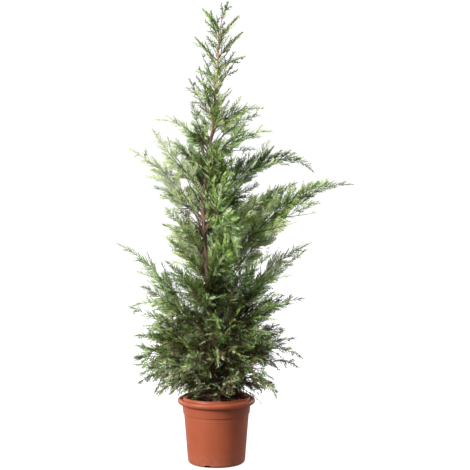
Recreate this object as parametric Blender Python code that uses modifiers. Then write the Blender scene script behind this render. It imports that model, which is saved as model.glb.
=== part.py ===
"""A young Leyland cypress in a round nursery pot.

The frame is in metres with +Z up. The origin is the centre of the pot's flat underside, and
-Y faces the viewer, who sees the longest boughs reach to the right, along +X.

The tree is one trunk, boughs that leave it all round, and one plume of foliage for each
bough. A plume is a stem that runs out into one long toothed blade, which follows the bough
to its tip, and smaller toothed blades that leave both faces of it by a seeded rule. Each
tooth stands for a flat spray of scale leaves. The longest boughs have a bare limb first, and
the plume's stem goes on from the limb's end. The others grow straight out of the trunk.
"""

import math
import random

import bmesh
import bpy
from mathutils import Vector
from mathutils.kdtree import KDTree

# The gap between neighbouring solids, and one wide enough for a slanting or faceted face.
GAP = 0.0003
CLEAR = 0.0004

# The pot, turned round Z.
POT_HEIGHT = 0.254
RIM_RADIUS = 0.150
RIM_ROLL = 0.0115
COLLAR_RADIUS = 0.1315
COLLAR_FOOT_RADIUS = 0.1255
COLLAR_FOOT_HEIGHT = 0.190
BODY_TOP_RADIUS = 0.1225
BODY_FOOT_RADIUS = 0.1085
FOOT_ROUNDING = 0.012
WALL = 0.0028
FLOOR = 0.0035
SHOULDER = 0.0012
SHOULDER_HEIGHT = 0.004
WALL_BELOW_ROLL = 0.006
COLLAR_BELOW_ROLL = 0.009
POT_SIDES = 32

# Drain notches cut through the foot.
NOTCH_COUNT = 4
NOTCH_FIRST_AZIMUTH = -107.0
NOTCH_WIDTH = 0.024
NOTCH_HEIGHT = 0.0065
NOTCH_DEPTH = 0.022
NOTCH_OVERHANG = 0.004

# The soil that fills the pot.
SOIL_HEIGHT = 0.226
SOIL_EDGE_DROP = 0.006
SOIL_CROWN_RADIUS = 0.035
SOIL_SLOPE_RADIUS = 0.080
SOIL_SLOPE_SHARE = 0.6

# The trunk: height, sideways lean (x), lean away from the viewer (y), radius.
TRUNK_STATIONS = (
    (SOIL_HEIGHT + GAP, 0.000, 0.000, 0.0215),
    (0.240, 0.000, 0.000, 0.0160),
    (0.275, -0.002, 0.001, 0.0132),
    (0.470, -0.020, 0.006, 0.0115),
    (0.720, -0.036, 0.010, 0.0092),
    (0.955, -0.052, 0.004, 0.0076),
    (1.110, -0.040, -0.006, 0.0064),
    (1.300, -0.013, -0.004, 0.0050),
    (1.480, 0.003, 0.004, 0.0036),
    (1.600, 0.009, 0.004, 0.0026),
    (1.690, 0.019, 0.000, 0.0018),
)
TRUNK_RESOLUTION = 2

# Every bough: height on the trunk, azimuth (0 is +X, 90 away from the viewer), length, and
# its rise above level in degrees at its root, its middle and its tip.
BOUGHS = {
    "leader": (1.690, 20, 0.086, 76, 70, 70),
    "left_01": (1.615, 172, 0.150, 78, 63, 46),
    "left_02": (1.545, 190, 0.128, 36, 46, 48),
    "left_03": (1.455, 125, 0.170, 45, 52, 52),
    "left_04": (1.335, 222, 0.200, 57, 70, 76),
    "left_05": (1.320, 166, 0.190, 50, 60, 62),
    "left_06": (1.190, 152, 0.310, 52, 30, -12),
    "left_07": (1.045, 190, 0.315, 42, 50, 56),
    "left_08": (0.845, 176, 0.500, 80, 49, 28),
    "left_09": (0.815, 214, 0.250, 34, 46, 44),
    "left_10": (0.515, 180, 0.500, 35, 49, 22),
    "left_11": (0.490, 215, 0.380, 35, 36, 20),
    "left_12": (0.458, 166, 0.390, 45, 28, -34),
    "left_13": (0.390, 200, 0.330, 38, 20, 5),
    "left_14": (0.325, 176, 0.345, 42, 15, -35),
    "left_15": (0.305, 204, 0.330, 38, 12, -32),
    "left_16": (0.285, 166, 0.290, 38, -5, -65),
    "right_01": (1.630, 5, 0.115, 50, 50, 45),
    "right_02": (1.560, -12, 0.135, 40, 46, 35),
    "right_03": (1.510, 20, 0.130, 40, 25, 15),
    "right_04": (1.430, -45, 0.150, 42, 46, 38),
    "right_05": (1.270, -10, 0.235, 52, 25, -12),
    "right_06": (1.200, 38, 0.300, 45, 32, 8),
    "right_07": (1.145, -10, 0.295, 50, 28, -3),
    "right_08": (0.955, 6, 0.530, 47, 30, -50),
    "right_09": (0.780, -28, 0.360, 46, 46, 34),
    "right_10": (0.655, -4, 0.730, 52, 43, -5),
    "right_11": (0.600, 24, 0.640, 51, 44, 10),
    "right_12": (0.550, -38, 0.400, 42, 45, 30),
    "right_13": (0.468, 4, 0.520, 52, 44, 32),
    "right_14": (0.400, -15, 0.420, 52, 36, 5),
    "right_15": (0.335, 38, 0.400, 40, 25, 0),
    "right_16": (0.312, -8, 0.395, 48, 20, -40),
    "right_17": (0.290, 18, 0.380, 40, 12, -34),
    "right_18": (0.282, -24, 0.300, 38, 0, -70),
    "front_01": (1.375, -88, 0.200, 45, 58, 66),
    "front_02": (1.200, -120, 0.220, 40, 58, 65),
    "front_03": (1.080, -62, 0.260, 42, 52, 50),
    "front_04": (0.880, -62, 0.330, 42, 50, 42),
    "front_05": (0.680, -58, 0.355, 45, 48, 30),
    "front_06": (0.570, -125, 0.355, 42, 42, 25),
    "front_07": (0.430, -85, 0.365, 42, 30, 0),
    "front_08": (0.330, -112, 0.320, 42, 15, -30),
    "front_09": (0.370, -52, 0.370, 44, 24, -15),
    "back_01": (1.240, 85, 0.210, 45, 50, 55),
    "back_02": (1.030, 108, 0.300, 45, 45, 40),
    "back_03": (0.850, 65, 0.355, 45, 42, 25),
    "back_04": (0.670, 112, 0.400, 45, 38, 15),
    "back_05": (0.480, 80, 0.410, 42, 30, 5),
    "back_06": (0.380, 118, 0.380, 42, 18, -15),
    "back_07": (0.310, 62, 0.340, 42, 10, -40),
}
PATH_STEPS = 24

# The boughs that show a bare limb, and how much of their length it takes.
LIMBED = (
    "left_08",
    "left_10",
    "right_08",
    "right_10",
    "right_11",
    "right_13",
)
LIMB_SHARE = 0.26
BOUGH_ROOT_RADIUS = 0.0021
BOUGH_RADIUS_PER_METRE = 0.0044
MOST_SHARE_OF_TRUNK = 0.80
BOUGH_TAPER = 0.55
STEM_END_RADIUS = 0.0008
STEM_SHARE = 0.26
LIMB_STATIONS = 4
STEM_STATIONS = 3
LIMB_RESOLUTION = 1
STEM_RESOLUTION = 0

# Foliage.
SEED = 1871
SPRAY_START_SHARE = 0.10
SPRAY_TOOTH_SPACING = 0.050
SPRAY_SPREAD = 0.008
SPRAY_SPREAD_PER_REST = 0.31
SPRAY_MOST_SPREAD = 0.088
SPRAY_ROLL = 48.0
SPRAY_THICKNESS = 0.0042
SPRAY_UNEVENNESS = (0.82, 1.12)
SPRAY_SUNK_SHARE = 0.01
LEAST_TEETH = 2
FEWEST_SHOOTS = 1.2
SHOOTS_PER_METRE = 6.2
FIRST_SHOOT_SHARE = 0.22
FIRST_SHOOT_PAST_LIMB = 0.06
LAST_SHOOT_SHARE = 0.66
SHOOT_ANGLE_ROOT = 50.0
SHOOT_ANGLE_TIP = 36.0
SHOOT_SCATTER = 28.0
SHOOT_LENGTH = 0.028
SHOOT_LENGTH_PER_REST = 0.45
SHOOT_UNEVENNESS = (0.88, 1.12)
SHOOT_SHIFT = 0.2
SHOOT_BEND = 0.16
BLADE_TWIST = 25.0
BLADE_TEETH = 2
BLADE_FULLNESS_AT_ROOT = 1.25
BLADE_FULLNESS_AT_TIP = 0.45
BLADE_WIDTH_SHARE = 0.22
BLADE_WIDTH = 0.008
BLADE_THICKNESS_SHARE = 0.020
BLADE_LEAST_THICKNESS = 0.0014
NOTCH_SHARE = 0.30
NARROWEST_SHARE = 0.35
SPACE_MARGIN = 0.003
LIMB_MARGIN = 0.0075
POT_MARGIN = 0.004
SHORTER = 0.82
TRIES = 5

# A blade's form: its corners at each rib station, how far its teeth lean forward and its tip
# stands beyond the last notch, in steps between notches, and how much its rib thins to the tip.
RIB_CORNERS = 4
TOOTH_LEAN = 1.25
TIP_STEP = 0.65
RIB_THINNING = 0.6
RIB_STEP = 0.02
ROOT_WIDTH_SHARE = 0.9


def clear_scene():
    for obj in list(bpy.data.objects):
        bpy.data.objects.remove(obj, do_unlink=True)


def new_collection(name, hidden=False):
    collection = bpy.data.collections.new(name)
    bpy.context.scene.collection.children.link(collection)
    collection.hide_render = hidden
    return collection


def new_material(name, colour, roughness):
    material = bpy.data.materials.new(name)
    material.use_nodes = True
    shader = material.node_tree.nodes["Principled BSDF"]
    shader.inputs["Base Color"].default_value = (*colour, 1.0)
    shader.inputs["Roughness"].default_value = roughness
    shader.inputs["Metallic"].default_value = 0.0
    material.diffuse_color = (*colour, 1.0)
    return material


def new_object(name, data, collection, material=None):
    obj = bpy.data.objects.new(name, data)
    collection.objects.link(obj)
    if material:
        data.materials.append(material)
    return obj


def as_helper(obj):
    obj.hide_render = True
    obj.display_type = "WIRE"
    return obj


def evaluated_mesh(obj, weld=False):
    """The object's mesh with its modifiers applied, and a curve's loose caps welded."""
    bpy.context.view_layer.update()
    graph = bpy.context.evaluated_depsgraph_get()
    mesh = bpy.data.meshes.new_from_object(obj.evaluated_get(graph))
    if weld:
        bm = bmesh.new()
        bm.from_mesh(mesh)
        bmesh.ops.remove_doubles(bm, verts=bm.verts, dist=0.00001)
        bm.to_mesh(mesh)
        bm.free()
    return mesh


def turned(name, profile, sides, collection, material=None):
    """A profile of (radius, height) points turned round Z with a Screw modifier."""
    mesh = bpy.data.meshes.new(name)
    edges = [(i, i + 1) for i in range(len(profile) - 1)]
    mesh.from_pydata([(radius, 0.0, height) for radius, height in profile], edges, [])
    obj = new_object(name, mesh, collection, material)
    screw = obj.modifiers.new("turn", "SCREW")
    screw.steps = sides
    screw.render_steps = sides
    screw.use_merge_vertices = True
    screw.merge_threshold = 0.00005
    screw.use_smooth_shade = True
    return obj


def tube(name, points, radii, resolution, collection, material=None):
    """A tapering tube along points: a POLY curve with a bevel and filled caps, made a mesh."""
    curve = bpy.data.curves.new(name + "_line", "CURVE")
    curve.dimensions = "3D"
    curve.bevel_depth = 1.0
    curve.bevel_resolution = resolution
    curve.use_fill_caps = True
    spline = curve.splines.new("POLY")
    spline.points.add(len(points) - 1)
    for knot, point, radius in zip(spline.points, points, radii):
        knot.co = (*point, 1.0)
        knot.radius = radius
    line = new_object(name + "_line", curve, collection)
    mesh = evaluated_mesh(line, weld=True)
    mesh.name = name
    obj = new_object(name, mesh, collection, material)
    obj.matrix_world = line.matrix_world
    bpy.data.objects.remove(line)
    mesh.shade_smooth()
    return obj


def cut(obj, cutter):
    boolean = obj.modifiers.new("cut", "BOOLEAN")
    boolean.operation = "DIFFERENCE"
    boolean.object = cutter
    boolean.solver = "EXACT"


def apply_modifiers(obj):
    mesh = evaluated_mesh(obj)
    obj.modifiers.clear()
    obj.data = mesh


def arc(centre_radius, centre_height, radius, first, last, count):
    """Points on an arc from angle first to last, in degrees, 0 pointing outwards and 90 up."""
    points = []
    for i in range(count):
        angle = math.radians(first + (last - first) * i / (count - 1))
        points.append(
            (
                centre_radius + radius * math.cos(angle),
                centre_height + radius * math.sin(angle),
            )
        )
    return points


def pot_profile():
    """From the middle of the inner floor, up the inside, over the rolled rim and down."""
    roll_centre = RIM_RADIUS - RIM_ROLL
    roll_height = POT_HEIGHT - RIM_ROLL
    inside = [
        (0.0, FLOOR),
        (BODY_FOOT_RADIUS - FOOT_ROUNDING, FLOOR),
        (BODY_FOOT_RADIUS - WALL, FLOOR + FOOT_ROUNDING),
        (BODY_TOP_RADIUS - WALL, COLLAR_FOOT_HEIGHT),
        (COLLAR_RADIUS - WALL, roll_height - WALL_BELOW_ROLL),
    ]
    rim = arc(roll_centre, roll_height, RIM_ROLL, 165, -95, 7)
    collar = [
        (COLLAR_RADIUS, roll_height - COLLAR_BELOW_ROLL),
        (COLLAR_FOOT_RADIUS + SHOULDER, COLLAR_FOOT_HEIGHT + SHOULDER_HEIGHT),
        (COLLAR_FOOT_RADIUS, COLLAR_FOOT_HEIGHT + SHOULDER),
        (BODY_TOP_RADIUS, COLLAR_FOOT_HEIGHT),
    ]
    foot_radius = BODY_FOOT_RADIUS - FOOT_ROUNDING
    foot = arc(foot_radius, FOOT_ROUNDING, FOOT_ROUNDING, 0, -90, 4)
    return inside + rim + collar + foot + [(0.0, 0.0)]


def build_pot(parts, helpers, material):
    pot = turned("pot", pot_profile(), POT_SIDES, parts, material)
    for i in range(NOTCH_COUNT):
        azimuth = math.radians(NOTCH_FIRST_AZIMUTH + i * 360 / NOTCH_COUNT)
        bpy.ops.mesh.primitive_cube_add(size=1)
        notch = bpy.context.object
        notch.name = f"notch_{i + 1}"
        for collection in list(notch.users_collection):
            collection.objects.unlink(notch)
        helpers.objects.link(notch)
        middle = BODY_FOOT_RADIUS - NOTCH_DEPTH / 2 + NOTCH_OVERHANG
        notch.scale = (NOTCH_DEPTH, NOTCH_WIDTH, 2 * NOTCH_HEIGHT)
        notch.rotation_euler = (0, 0, azimuth)
        notch.location = (middle * math.cos(azimuth), middle * math.sin(azimuth), 0)
        cut(pot, as_helper(notch))


def build_soil(parts, material):
    """Fills the pot, a gap clear of its floor and wall, and slopes a little to the wall."""
    edge_height = SOIL_HEIGHT - SOIL_EDGE_DROP
    collar_height = POT_HEIGHT - RIM_ROLL - WALL_BELOW_ROLL - COLLAR_FOOT_HEIGHT
    collar_share = (edge_height - COLLAR_FOOT_HEIGHT) / collar_height
    edge = BODY_TOP_RADIUS + (COLLAR_RADIUS - BODY_TOP_RADIUS) * collar_share
    inset = WALL + 2 * GAP
    profile = [
        (0.0, SOIL_HEIGHT),
        (SOIL_CROWN_RADIUS, SOIL_HEIGHT),
        (SOIL_SLOPE_RADIUS, SOIL_HEIGHT - SOIL_SLOPE_SHARE * SOIL_EDGE_DROP),
        (edge - inset, edge_height),
        (BODY_TOP_RADIUS - inset, COLLAR_FOOT_HEIGHT),
        (BODY_FOOT_RADIUS - inset, FLOOR + FOOT_ROUNDING + GAP),
        (BODY_FOOT_RADIUS - FOOT_ROUNDING - GAP, FLOOR + GAP),
        (0.0, FLOOR + GAP),
    ]
    turned("soil", profile, POT_SIDES, parts, material)


def trunk_at(height):
    """(point on the trunk's middle line, radius) at a height: straight between stations."""
    stations = TRUNK_STATIONS
    height = min(max(height, stations[0][0]), stations[-1][0])
    for low, high in zip(stations, stations[1:]):
        if height <= high[0]:
            break
    share = (height - low[0]) / (high[0] - low[0])
    x, y, radius = (low[k] + (high[k] - low[k]) * share for k in (1, 2, 3))
    return Vector((x, y, height)), radius


def build_trunk(parts, helpers, material):
    """Makes the trunk, and returns a slightly fatter copy that the boughs' roots are cut with."""
    points = [Vector((x, y, height)) for height, x, y, _ in TRUNK_STATIONS]
    radii = [station[3] for station in TRUNK_STATIONS]
    tube("trunk", points, radii, TRUNK_RESOLUTION, parts, material)
    fatter = [radius + CLEAR for radius in radii]
    points[-1] = points[-1] + Vector((0, 0, GAP))
    return as_helper(tube("trunk_sheath", points, fatter, TRUNK_RESOLUTION, helpers))


class Bough:
    """A bough's middle line, which stays in one upright plane, and its radius along it."""

    def __init__(self, name):
        height, azimuth, length, root, middle, tip = BOUGHS[name]
        self.name = name
        self.length = length
        self.limbed = name in LIMBED
        self.root_radius = min(
            BOUGH_ROOT_RADIUS + BOUGH_RADIUS_PER_METRE * length,
            MOST_SHARE_OF_TRUNK * trunk_at(height)[1],
        )
        turn = math.radians(azimuth)
        outwards = Vector((math.cos(turn), math.sin(turn), 0))
        self.points = [trunk_at(height)[0]]
        for i in range(PATH_STEPS):
            t = (i + 0.5) / PATH_STEPS
            rise = math.radians(
                root * (1 - t) * (1 - 2 * t)
                + middle * 4 * t * (1 - t)
                + tip * t * (2 * t - 1)
            )
            way = outwards * math.cos(rise) + Vector((0, 0, math.sin(rise)))
            self.points.append(self.points[-1] + way * (length / PATH_STEPS))
        self.aside = Vector((0, 0, 1)).cross(outwards).normalized()

    def at(self, share):
        """The point at a share of the length."""
        place = min(max(share, 0.0), 1.0) * PATH_STEPS
        i = min(int(place), PATH_STEPS - 1)
        return self.points[i].lerp(self.points[i + 1], place - i)

    def way(self, share):
        """The direction of growth at a share of the length."""
        return (self.at(share + 1 / PATH_STEPS) - self.at(share - 1 / PATH_STEPS)).normalized()

    def sideways(self, share, turn):
        """A direction square to the growth: level at turn 0, and up at a quarter turn."""
        up = self.way(share).cross(self.aside)
        if up.z < 0:
            up = -up
        return self.aside * math.cos(turn) + up * math.sin(turn)

    def radius(self, share):
        """The limb's radius at a share of the length."""
        return self.root_radius * (1 - BOUGH_TAPER * share)

    def foliage_start(self):
        """The share of the length where the limb ends and the plume's stem begins."""
        return LIMB_SHARE if self.limbed else 0.0


def bough_tube(name, bough, ends, radii, count, resolution, collection, material):
    """A tube along the bough between two shares of its length, tapering evenly."""
    steps = [i / (count - 1) for i in range(count)]
    points = [bough.at(ends[0] + (ends[1] - ends[0]) * step) for step in steps]
    sizes = [radii[0] + (radii[1] - radii[0]) * step for step in steps]
    return tube(name, points, sizes, resolution, collection, material)


def outside_trunk(bough):
    """The first share of the length whose point is half out of the trunk."""
    share = 0.0
    while True:
        point = bough.at(share)
        middle, radius = trunk_at(point.z)
        if (point - middle).length > radius / 2:
            return share
        share += 0.01


class Spaces:
    """Says which bough a point is nearest to, so that each plume keeps to its own space."""

    def __init__(self, boughs):
        samples = 3 * PATH_STEPS
        self.tree = KDTree(len(boughs) * (samples + 1))
        self.owner = []
        for bough in boughs:
            for i in range(samples + 1):
                self.tree.insert(bough.at(i / samples), len(self.owner))
                self.owner.append(bough.name)
        self.tree.balance()

    def holds(self, bough, point):
        """Whether the point is the bough's own, and clear of limbs, trunk, pot and soil."""
        middle, radius = trunk_at(point.z)
        if (point - middle).length < radius + LIMB_MARGIN:
            return False
        from_axis = Vector((point.x, point.y)).length
        over_pot = point.z > POT_HEIGHT + POT_MARGIN
        beside_pot = from_axis > RIM_RADIUS + POT_MARGIN
        if not (over_pot or beside_pot):
            return False
        _, nearest, distance = self.tree.find(point)
        if self.owner[nearest] != bough.name:
            return False
        near = self.tree.find_range(point, max(distance + SPACE_MARGIN, LIMB_MARGIN))
        return all(self.owner[index] == bough.name for _, index, _ in near)


def blade_form(line, across, spread, thickness, teeth):
    """Vertices and faces of a toothed blade with a raised rib on both faces.

    line(share) is a point on the rib, across(share) the direction of its width, and
    spread(share, side) how far a tooth of that side reaches. Each tooth leans forward, from a
    notch near the rib to a tip ahead of the next notch.
    """
    vertices, faces = [], []
    ribs = []
    for i in range(teeth + 1):
        share = i / (teeth + TIP_STEP)
        rib, side = line(share), across(share)
        along = line(share + RIB_STEP) - line(share - RIB_STEP)
        normal = side.cross(along).normalized()
        half = thickness / 2 * (1 - RIB_THINNING * share)
        edges = [NOTCH_SHARE * spread(share, sign) for sign in (1, -1)]
        if i == 0:
            edges = [ROOT_WIDTH_SHARE * half, ROOT_WIDTH_SHARE * half]
        ribs.append(len(vertices))
        vertices += [
            rib + normal * half,
            rib - normal * half,
            rib + side * edges[0],
            rib - side * edges[1],
        ]
    for i in range(teeth):
        share = (i + TOOTH_LEAN) / (teeth + TIP_STEP)
        rib, side = line(share), across(share)
        first = len(vertices)
        vertices += [rib + side * spread(share, 1), rib - side * spread(share, -1)]
        here, there = ribs[i], ribs[i + 1]
        for face in (0, 1):
            for tooth in (0, 1):
                notch = 2 + tooth
                ring = [
                    (here + face, here + notch, first + tooth),
                    (here + face, first + tooth, there + notch),
                    (here + face, there + notch, there + face),
                ]
                faces += ring if face == tooth else [corner[::-1] for corner in ring]
    tip = len(vertices)
    vertices.append(line(1.0))
    last = ribs[-1]
    faces += [(last, last + 2, tip), (last, tip, last + 3)]
    faces += [(last + 1, tip, last + 2), (last + 1, last + 3, tip)]
    faces += [(0, 3, 1), (0, 1, 2)]
    return vertices, faces


def blade_object(name, vertices, faces, collection):
    bm = bmesh.new()
    corners = [bm.verts.new(vertex) for vertex in vertices]
    for face in faces:
        bm.faces.new([corners[i] for i in face])
    bmesh.ops.recalc_face_normals(bm, faces=bm.faces)
    mesh = bpy.data.meshes.new(name)
    bm.to_mesh(mesh)
    bm.free()
    return new_object(name, mesh, collection)


def fitted(spaces, bough, point, way, wanted):
    """The part of a wanted reach from a point that stays in the bough's own space."""
    reach = wanted
    while reach > NARROWEST_SHARE * wanted:
        if spaces.holds(bough, point + way * reach):
            return reach
        reach *= SHORTER
    return reach * NOTCH_SHARE


def main_spray(bough, spaces, roll, rng):
    """The blade that runs along the bough to its very tip, as wide as its space lets it be."""
    start = max(SPRAY_START_SHARE, bough.foliage_start() + SPRAY_SUNK_SHARE)
    length = (1 - start) * bough.length
    teeth = max(round(length / SPRAY_TOOTH_SPACING), LEAST_TEETH)
    uneven = {}

    def line(share):
        return bough.at(start + (1 - start) * share)

    def across(share):
        return bough.sideways(start + (1 - start) * share, roll)

    def spread(share, side):
        rest = (1 - share) * length
        wanted = min(SPRAY_SPREAD + SPRAY_SPREAD_PER_REST * rest, SPRAY_MOST_SPREAD)
        wanted *= uneven.setdefault((share, side), rng.uniform(*SPRAY_UNEVENNESS))
        return fitted(spaces, bough, line(share), across(share) * side, wanted)

    return blade_form(line, across, spread, SPRAY_THICKNESS, teeth)


def side_blade(bough, share, turn, length, angle, twist):
    """A side shoot's blade: it leaves the stem at an angle and bends on forwards."""
    start = bough.at(share)
    forwards = bough.way(share)
    outwards = bough.sideways(share, turn)
    way = forwards * math.cos(angle) + outwards * math.sin(angle)
    flat = outwards * math.cos(angle) - forwards * math.sin(angle)
    across_way = flat * math.cos(twist) + way.cross(flat) * math.sin(twist)

    def line(place):
        return start + (way * place + forwards * (SHOOT_BEND * place * place)) * length

    def across(_):
        return across_way

    def spread(place, _):
        fall = (BLADE_FULLNESS_AT_ROOT - BLADE_FULLNESS_AT_TIP) * place
        return (BLADE_WIDTH_SHARE * length + BLADE_WIDTH) * (BLADE_FULLNESS_AT_ROOT - fall)

    thickness = max(BLADE_THICKNESS_SHARE * length, BLADE_LEAST_THICKNESS)
    return blade_form(line, across, spread, thickness, BLADE_TEETH)


def side_shoots(bough, roll, rng):
    """(share, turn, length, angle, twist) of each side shoot, by a seeded rule.

    The shoots leave the stem on the two faces of its main spray in turn, and their length
    follows what is left of the bough ahead of them.
    """
    first = max(FIRST_SHOOT_SHARE, bough.foliage_start() + FIRST_SHOOT_PAST_LIMB)
    span = LAST_SHOOT_SHARE - first
    count = round(FEWEST_SHOOTS + SHOOTS_PER_METRE * bough.length)
    face = rng.choice((-90, 90))
    shoots = []
    for i in range(count):
        share = first + span * (i + 0.5 + rng.uniform(-SHOOT_SHIFT, SHOOT_SHIFT)) / count
        rest = (1 - share) * bough.length
        length = SHOOT_LENGTH + SHOOT_LENGTH_PER_REST * rest
        length *= rng.uniform(*SHOOT_UNEVENNESS)
        turn = roll + math.radians(face + rng.uniform(-SHOOT_SCATTER, SHOOT_SCATTER))
        angle = SHOOT_ANGLE_ROOT + (SHOOT_ANGLE_TIP - SHOOT_ANGLE_ROOT) * share
        twist = rng.uniform(-BLADE_TWIST, BLADE_TWIST)
        shoots.append((share, turn, length, math.radians(angle), math.radians(twist)))
        face = -face
    return shoots


def stem_start(bough):
    """Where the plume's stem begins: past the limb's end or the trunk's, or inside the trunk."""
    if bough.limbed or bough.name == "leader":
        return bough.foliage_start() + CLEAR / bough.length
    return outside_trunk(bough)


def build_plume(bough, spaces, parts, sheath, material):
    """One mass of foliage: the stem, its main spray and its side blades joined in one."""
    rng = random.Random(f"{SEED} {bough.name}")
    name = f"foliage_{bough.name}"
    start = stem_start(bough)
    stem = bough_tube(
        name,
        bough,
        (start, start + STEM_SHARE * (1 - start)),
        (bough.radius(start), STEM_END_RADIUS),
        STEM_STATIONS,
        STEM_RESOLUTION,
        parts,
        material,
    )
    if not bough.limbed and bough.name != "leader":
        cut(stem, sheath)
        apply_modifiers(stem)
    blades = new_collection(name + "_blades")
    roll = math.radians(SPRAY_ROLL * rng.choice((-1, 1)))
    vertices, faces = main_spray(bough, spaces, roll, rng)
    blade_object(f"{name}_main", vertices, faces, blades)
    for i, shoot in enumerate(side_shoots(bough, roll, rng)):
        share, turn, length, angle, twist = shoot
        for _ in range(TRIES):
            vertices, faces = side_blade(bough, share, turn, length, angle, twist)
            if all(spaces.holds(bough, vertex) for vertex in vertices[RIB_CORNERS:]):
                blade_object(f"{name}_side_{i + 1}", vertices, faces, blades)
                break
            length *= SHORTER
    join = stem.modifiers.new("join", "BOOLEAN")
    join.operation = "UNION"
    join.operand_type = "COLLECTION"
    join.collection = blades
    join.solver = "EXACT"
    apply_modifiers(stem)
    for blade in list(blades.objects):
        bpy.data.objects.remove(blade, do_unlink=True)
    bpy.data.collections.remove(blades)


def build_limb(bough, parts, sheath, material):
    """The bare limb of a long bough, cut to the trunk's surface at its root."""
    start = outside_trunk(bough)
    limb = bough_tube(
        f"bough_{bough.name}",
        bough,
        (start, LIMB_SHARE),
        (bough.radius(start), bough.radius(LIMB_SHARE)),
        LIMB_STATIONS,
        LIMB_RESOLUTION,
        parts,
        material,
    )
    cut(limb, sheath)
    apply_modifiers(limb)


def main():
    clear_scene()
    parts = new_collection("leyland_cypress")
    helpers = new_collection("cutters", hidden=True)
    terracotta = new_material("terracotta_plastic", (0.50, 0.15, 0.075), 0.45)
    earth = new_material("potting_soil", (0.035, 0.020, 0.012), 0.95)
    bark = new_material("bark", (0.16, 0.085, 0.045), 0.85)
    green = new_material("scale_leaves", (0.075, 0.13, 0.035), 0.65)
    build_pot(parts, helpers, terracotta)
    build_soil(parts, earth)
    sheath = build_trunk(parts, helpers, bark)
    boughs = [Bough(name) for name in BOUGHS]
    spaces = Spaces(boughs)
    for bough in boughs:
        if bough.limbed:
            build_limb(bough, parts, sheath, bark)
        build_plume(bough, spaces, parts, sheath, green)


main()
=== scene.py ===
"""The looks of a potted Leyland cypress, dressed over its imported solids.

Metres, +Z up. The origin is the middle of the pot's underside, and the viewer stands at -Y.
The boughs follow the table and the rule of growth of the solids, and carry it on: a limb bears
shoots and branchlets, a branchlet bears flat sprays, and a spray bears leaflets of scale leaves.
Every order of growth is worked out as whole arrays.
"""

import math
import random
from collections import namedtuple

import bpy
import numpy as np
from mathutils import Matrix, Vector


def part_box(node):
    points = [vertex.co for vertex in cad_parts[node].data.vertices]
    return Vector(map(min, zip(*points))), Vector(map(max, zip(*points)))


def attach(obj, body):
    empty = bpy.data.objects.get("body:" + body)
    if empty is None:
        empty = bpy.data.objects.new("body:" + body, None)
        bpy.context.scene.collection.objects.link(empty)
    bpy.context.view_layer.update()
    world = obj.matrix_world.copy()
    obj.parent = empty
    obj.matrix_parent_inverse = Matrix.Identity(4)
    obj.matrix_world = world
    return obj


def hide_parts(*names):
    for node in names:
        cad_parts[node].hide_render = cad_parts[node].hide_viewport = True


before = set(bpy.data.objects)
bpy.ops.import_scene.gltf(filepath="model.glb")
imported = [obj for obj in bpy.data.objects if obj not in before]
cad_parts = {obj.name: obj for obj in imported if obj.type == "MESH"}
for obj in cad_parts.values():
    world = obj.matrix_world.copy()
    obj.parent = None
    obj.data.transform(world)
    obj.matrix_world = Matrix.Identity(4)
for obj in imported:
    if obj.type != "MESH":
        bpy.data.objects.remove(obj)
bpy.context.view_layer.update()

# The camera, at the photograph's height and distance, and its lens for the square frame.
CAMERA_PLACE = (0.0716, -4.2, 1.04)
CAMERA_DIP = 2.21
FRAME_PIXELS = 470
FOCAL_PIXELS = 1093
SENSOR_WIDTH = 36.0

# The pot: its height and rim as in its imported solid, its wall out to the photo's edges.
POT_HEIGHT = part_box("pot")[1].z
RIM_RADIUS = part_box("pot")[1].x
RIM_ROLL = 0.0110
COLLAR_RADIUS = 0.1340
COLLAR_FOOT_RADIUS = 0.1282
COLLAR_FOOT_HEIGHT = 0.190
BODY_TOP_RADIUS = 0.1252
BODY_FOOT_RADIUS = 0.1105
FOOT_ROUNDING = 0.010
WALL = 0.0028
FLOOR = 0.0125
BEAD_HEIGHT = 0.1765
BEAD_PROUD = 0.0006
BEAD_HALF_WIDTH = 0.0022
STEP_SOFTNESS = 0.0006
NOTCH_COUNT = 4
NOTCH_FIRST_AZIMUTH = -107.0
NOTCH_WIDTH = 0.024
NOTCH_HEIGHT = 0.0085
NOTCH_DEPTH = 0.018
BASE_RECESS = 0.0090
LIP_RADIUS = 0.1290
LIP_THICKNESS = 0.0024
LIP_PROUD = 0.0030
ROLL_DROP = 0.0040
UNDERCUT = 0.0022
UNDERCUT_HEIGHT = 0.0040
POT_COLUMNS = 168
# Where its profile starts and ends by the axis, how far bead and step reach up and down, how near
# to them the plain wall comes, the points at the undercut, the groove and the recess's edge, and
# how the notches are cut.
CENTRE_RADIUS = 0.004
BEAD_REACH = 0.0045
STEP_REACH = 0.0035
PLAIN_GAP = 0.006
UNDERCUT_ROWS = (-0.0025, 0.0012)
ROLL_ANGLES = (-122, 138)
GROOVE = ((0.0006, 0.0062), (0.0, 0.0066))
RECESS_RADIUS = 0.060
RECESS_EDGE = ((0.0040, 0.0090), (0.0030, 0.0086), (0.0006, 0.0), (0.0, 0.0))
LIP_DEPTH = 0.004
SHOULDER_DEPTH = 0.010
SHOULDER_INSET = 0.0016
INNER_STEP = 0.003
INSIDE_ROWS = 4
NOTCH_COLUMNS = np.array((0.25, 0.5, 0.7, 0.84, 0.93, 0.98, 0.998, 1.004))
NOTCH_SQUARENESS = 8
NOTCH_SLACK = 0.0008
COLUMN_GAP = 0.004
WARP = 0.0012

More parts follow.
